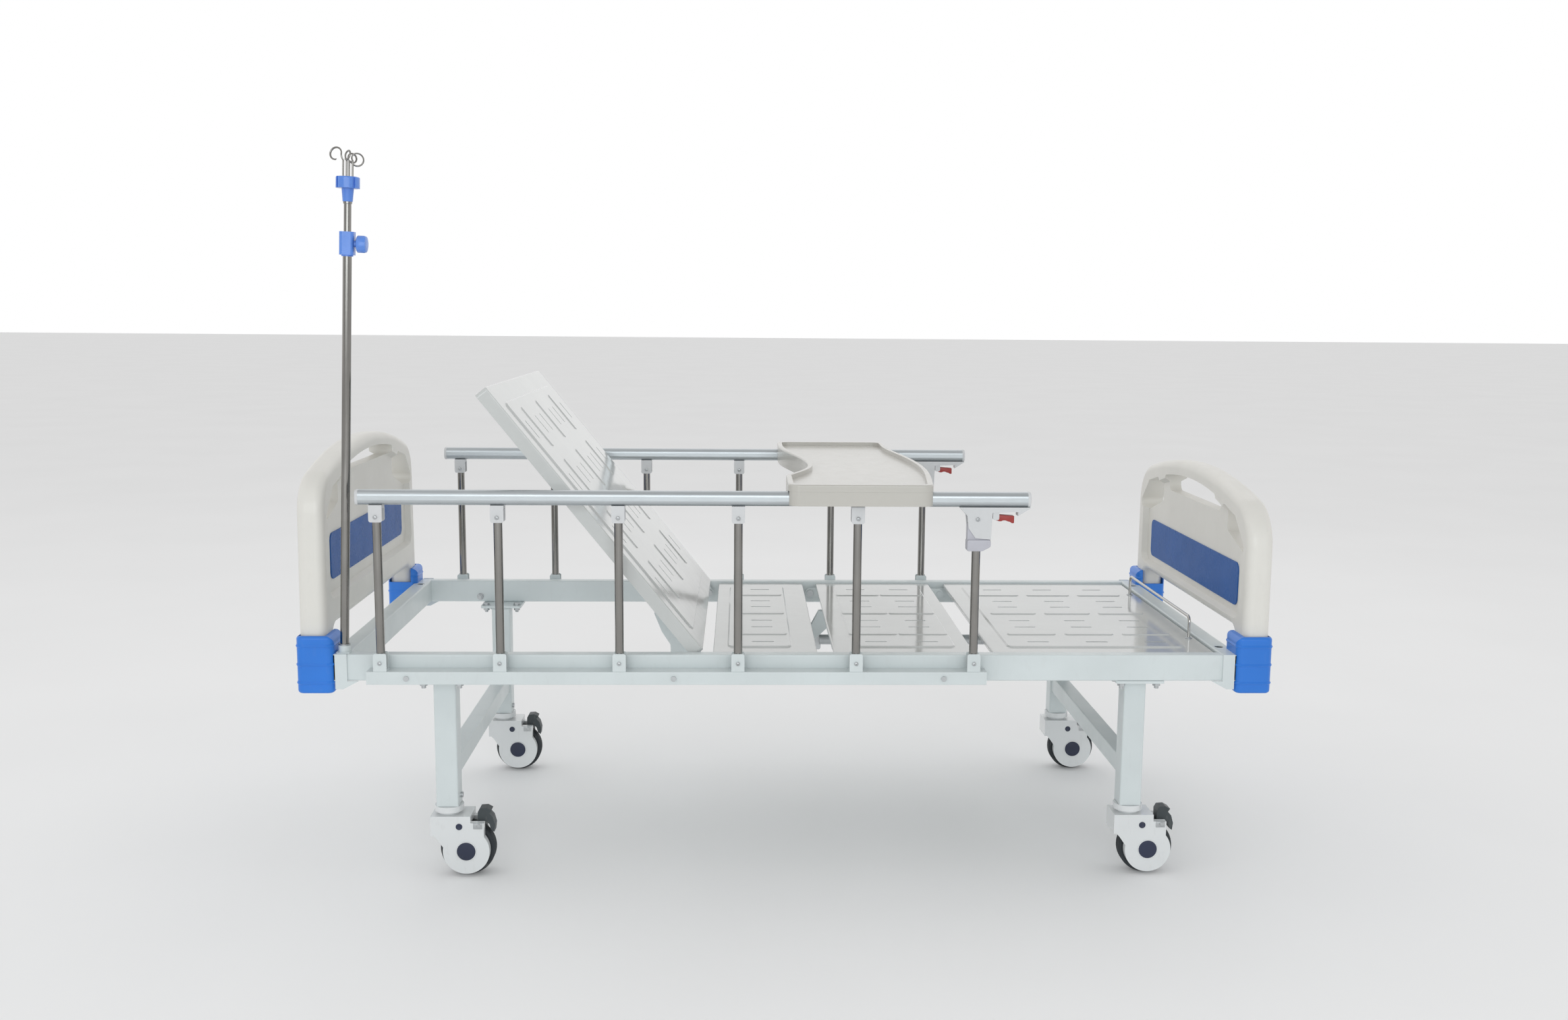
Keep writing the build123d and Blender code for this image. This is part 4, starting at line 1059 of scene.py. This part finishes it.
@dataclass
class LegWelds:
    """Weld beads round the brace ends and the leg tops."""

    palette: Palette
    brace_size: tuple[float, float] = (0.040, 0.044)
    leg_size: float = 0.050
    leg_y: float = 0.383
    brace_z: float = 0.248
    plate_z: float = 0.464
    legs: tuple[float, float] = (-0.773, 0.792)
    rings: Outline = ((0.0032, 0.0), (0.0018, 0.0020), (0.0, 0.0034))
    corners: Outline = ((-1, -1), (1, -1), (1, 1), (-1, 1))

    def build(self) -> None:
        """Builds and dresses the beads."""
        bench = Bench("leg_weld_beads")
        inner = self.leg_y - self.leg_size / 2
        leg = (self.leg_size, self.leg_size)
        for x in self.legs:
            for out in BOTH_SIDES:
                self._bead(bench, (x, out * inner, self.brace_z), (0, -out, 0), self.brace_size)
                self._bead(bench, (x, out * self.leg_y, self.plate_z), (0, 0, -1), leg)
        bench.finish(self.palette, "frame_white", "frame_white", "root", (), 60.0)

    def _bead(self, bench: Bench, place: Triple, away: Triple, size: tuple[float, float]) -> None:
        """One fillet of weld round a square tube's end.

        Args:
            bench: bench to build on.
            place: middle of the joint.
            away: direction from the plate along the tube.
            size: the tube's two widths.
        """
        half_x, half_y = size[0] / 2, size[1] / 2
        rings = []
        for grow, height in self.rings:
            corners = [
                bench.mesh.verts.new((sx * (half_x + grow), sy * (half_y + grow), height))
                for sx, sy in self.corners
            ]
            rings.append([bench.mesh.edges.new((corners[i], corners[(i + 1) % 4])) for i in range(4)])
        for below, above in zip(rings, rings[1:]):
            bmesh.ops.bridge_loops(bench.mesh, edges=below + above)
        verts = list({v for ring in rings for e in ring for v in e.verts})
        bmesh.ops.recalc_face_normals(bench.mesh, faces=list({f for v in verts for f in v.link_faces}))
        bmesh.ops.transform(bench.mesh, matrix=turned_to(away, place), verts=verts)


@dataclass
class FrameHardware:
    """Hex bolts through the leg plates and nuts inside the side tubes."""

    palette: Palette
    legs: tuple[float, float] = (-0.773, 0.792)
    bolt_reach: float = 0.042
    bolt_y: float = 0.376
    plate_low: float = 0.464
    plate_high: float = 0.470
    nut_x: tuple[float, float, float] = (-0.839, -0.255, 0.342)
    nut_z: float = 0.485
    tube_inner: float = 0.420
    hex_radius: float = 0.0085
    washer_radius: float = 0.0100
    washer_thick: float = 0.0015
    shank: float = 0.0045
    head: tuple[float, float] = (0.0056, 0.0)
    plate_nut: tuple[float, float] = (0.0072, 0.0050)
    tube_nut: tuple[float, float] = (0.0062, 0.0025)

    def build(self) -> None:
        """Builds and dresses the bolts and nuts."""
        bench = Bench("frame_hardware")
        for out in BOTH_SIDES:
            for leg, side in itertools.product(self.legs, BOTH_SIDES):
                x, y = leg + side * self.bolt_reach, out * self.bolt_y
                self._hex(bench, turned_to((0, 0, 1), (x, y, self.plate_high)), *self.head)
                self._hex(bench, turned_to((0, 0, -1), (x, y, self.plate_low)), *self.plate_nut)
            for x in self.nut_x:
                spot = (x, out * self.tube_inner, self.nut_z)
                self._hex(bench, turned_to((0, -out, 0), spot), *self.tube_nut)
        bench.finish(self.palette, "zinc_steel", "zinc_steel", "root")

    def _hex(self, bench: Bench, place: Matrix, height: float, tail: float) -> None:
        """A washer with a hex on it and, for a nut, the bolt's end standing out.

        Args:
            bench: bench to build on.
            place: matrix from the bolt's own axes to the frame.
            height: height of the hex.
            tail: length of bolt beyond the hex, or 0 for a head.
        """
        flat, wide, rim = self.washer_thick, self.hex_radius, self.hex_radius - 0.0010
        top = flat + height
        washer = ((0, 0), (self.washer_radius, 0), (self.washer_radius, flat), (0, flat))
        bench.lathe(washer, place, 28)
        bench.lathe(((0, flat), (wide, flat), (wide, top - 0.0007), (rim, top), (0, top)), place, 6)
        if tail:
            end, shank, point = top + tail, self.shank, self.shank - 0.0008
            bolt = ((0, top), (shank, top), (shank, end - 0.0008), (point, end), (0, end))
            bench.lathe(bolt, place, 20)


@dataclass
class DeckTrim:
    """Small parts on the deck: flanged washers under the mattress stop."""

    palette: Palette
    stop_x: float = 0.956
    stop_half: float = 0.262
    pad_top: float = 0.525
    washer: Outline = (
        (0.0037, 0), (0.0085, 0), (0.0085, 0.001), (0.0068, 0.0014), (0.0052, 0.0034),
        (0.0037, 0.0034), (0.0037, 0),
    )

    def build(self) -> None:
        """Builds and dresses the washers."""
        bench = Bench("stop_washers")
        for side in BOTH_SIDES:
            spot = (self.stop_x, side * self.stop_half, self.pad_top)
            bench.lathe(self.washer, Matrix.Translation(spot), 32)
        bench.finish(self.palette, "zinc_steel", "zinc_steel", "calf_section")


@dataclass(frozen=True)
class Softbox:
    """One rectangular area light: place, width and height, watts and tint."""

    name: str
    place: Triple
    size: tuple[float, float]
    power: float
    colour: Colour = (1.0, 1.0, 1.0)


@dataclass
class Studio:
    """Pale floor, a bright surround, soft lights and the camera."""

    eye: Triple = (-0.1084, -3.5778, 1.2938)
    pitch: float = 0.13918
    yaw: float = 0.03024
    roll: float = 0.00796
    lens: float = 33.05
    sensor: float = 36.0
    floor_half: float = 60.0
    floor_tones: tuple[float, float] = (0.94, 0.96)
    surround: float = 1.0
    behind_camera: float = 0.56
    behind_span: tuple[float, float] = (-0.85, 0.15)
    overhead: float = 0.74
    overhead_span: tuple[float, float] = (0.35, 0.9)
    aim: Triple = (0.0, 0.0, 0.55)
    softboxes: tuple[Softbox, ...] = (
        Softbox("key_softbox", (-2.6, -3.2, 4.4), (3.4, 2.4), 14.0),
        Softbox("front_softbox", (-0.2, -9.5, 3.0), (9.0, 3.6), 262.0, (0.93, 0.98, 1.0)),
        Softbox("back_softbox", (0.6, 3.6, 3.8), (4.5, 1.6), 12.0),
    )

    def build(self) -> None:
        """Sets up floor, world, lights and camera."""
        self._floor()
        self._world()
        for softbox in self.softboxes:
            self._light(softbox)
        self._camera()

    def _floor(self) -> None:
        """Plain pale floor with a faint mottled tone."""
        mesh = bmesh.new()
        bmesh.ops.create_grid(mesh, x_segments=1, y_segments=1, size=self.floor_half)
        data = bpy.data.meshes.new("studio_floor")
        mesh.to_mesh(data)
        mesh.free()
        floor = bpy.data.objects.new("studio_floor", data)
        bpy.context.scene.collection.objects.link(floor)
        desk = NodeDesk("studio_floor")
        dark, pale = ((tone,) * 3 for tone in self.floor_tones)
        tone = desk.ramp(desk.noise(0.8, 3.0), ((0.3, dark), (0.7, pale)))
        desk.link(tone, "Base Color")
        desk.set(Roughness=0.9, Specular_IOR_Level=0.05)
        data.materials.append(desk.material)

    def _world(self) -> None:
        """Bright surround that falls off behind the camera, so that metal has something to mirror."""
        world = bpy.data.worlds.new("studio")
        world.use_nodes = True
        tree = world.node_tree
        background = tree.nodes["Background"]
        coords = tree.nodes.new("ShaderNodeTexCoord")
        split = tree.nodes.new("ShaderNodeSeparateXYZ")
        tree.links.new(coords.outputs["Generated"], split.inputs["Vector"])
        both = tree.nodes.new("ShaderNodeMath")
        both.operation = "MULTIPLY"
        for slot, (axis, span, ends) in enumerate((
            ("Y", self.behind_span, (self.behind_camera, self.surround)),
            ("Z", self.overhead_span, (1.0, self.overhead)),
        )):
            fade = tree.nodes.new("ShaderNodeMapRange")
            fade.interpolation_type = "SMOOTHSTEP"
            for name, value in zip(("From Min", "From Max", "To Min", "To Max"), span + ends):
                fade.inputs[name].default_value = value
            tree.links.new(split.outputs[axis], fade.inputs["Value"])
            tree.links.new(fade.outputs["Result"], both.inputs[slot])
        tree.links.new(both.outputs["Value"], background.inputs["Strength"])
        background.inputs["Color"].default_value = (1.0, 1.0, 1.0, 1.0)
        bpy.context.scene.world = world
        bpy.context.scene.view_settings.view_transform = "Standard"

    def _light(self, softbox: Softbox) -> None:
        """Adds one area light aimed at the bed.

        Args:
            softbox: the light.
        """
        data = bpy.data.lights.new(softbox.name, "AREA")
        data.color = softbox.colour
        data.shape = "RECTANGLE"
        data.size, data.size_y = softbox.size
        data.energy = softbox.power
        lamp = bpy.data.objects.new(softbox.name, data)
        bpy.context.scene.collection.objects.link(lamp)
        lamp.location = softbox.place
        towards = Vector(self.aim) - Vector(softbox.place)
        lamp.rotation_euler = towards.to_track_quat("-Z", "Y").to_euler()

    def _camera(self) -> None:
        """The camera, at its fitted place and turn."""
        level = Vector((math.sin(self.yaw), math.cos(self.yaw), 0.0))
        ahead = level * math.cos(self.pitch) - Vector((0, 0, math.sin(self.pitch)))
        right = Vector((math.cos(self.yaw), -math.sin(self.yaw), 0.0))
        up = right.cross(ahead)
        rolled_right = right * math.cos(self.roll) + up * math.sin(self.roll)
        rolled_up = up * math.cos(self.roll) - right * math.sin(self.roll)
        data = bpy.data.cameras.new("camera")
        data.lens = self.lens
        data.sensor_width = self.sensor
        data.sensor_fit = "HORIZONTAL"
        camera = bpy.data.objects.new("camera", data)
        bpy.context.scene.collection.objects.link(camera)
        turn = Matrix((rolled_right, rolled_up, -ahead)).transposed().to_4x4()
        camera.matrix_world = Matrix.Translation(Vector(self.eye)) @ turn
        bpy.context.scene.camera = camera


def main() -> None:
    """Builds the bed's finishes and pieces in order, then the studio."""
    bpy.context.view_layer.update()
    palette = Palette()
    CarriedNodes(palette).dress()
    for end in ("head", "foot"):
        for hand in HANDS:
            Caster(palette, end, hand).build()
    for hand in HANDS:
        SideRail(palette, hand).build()
    LiftingScrew(palette, "back_crank", -1).build()
    LiftingScrew(palette, "knee_crank", 1).build()
    DripPole(palette).build()
    LegWelds(palette).build()
    FrameHardware(palette).build()
    DeckTrim(palette).build()
    Studio().build()


if __name__ == "__main__":
    main()
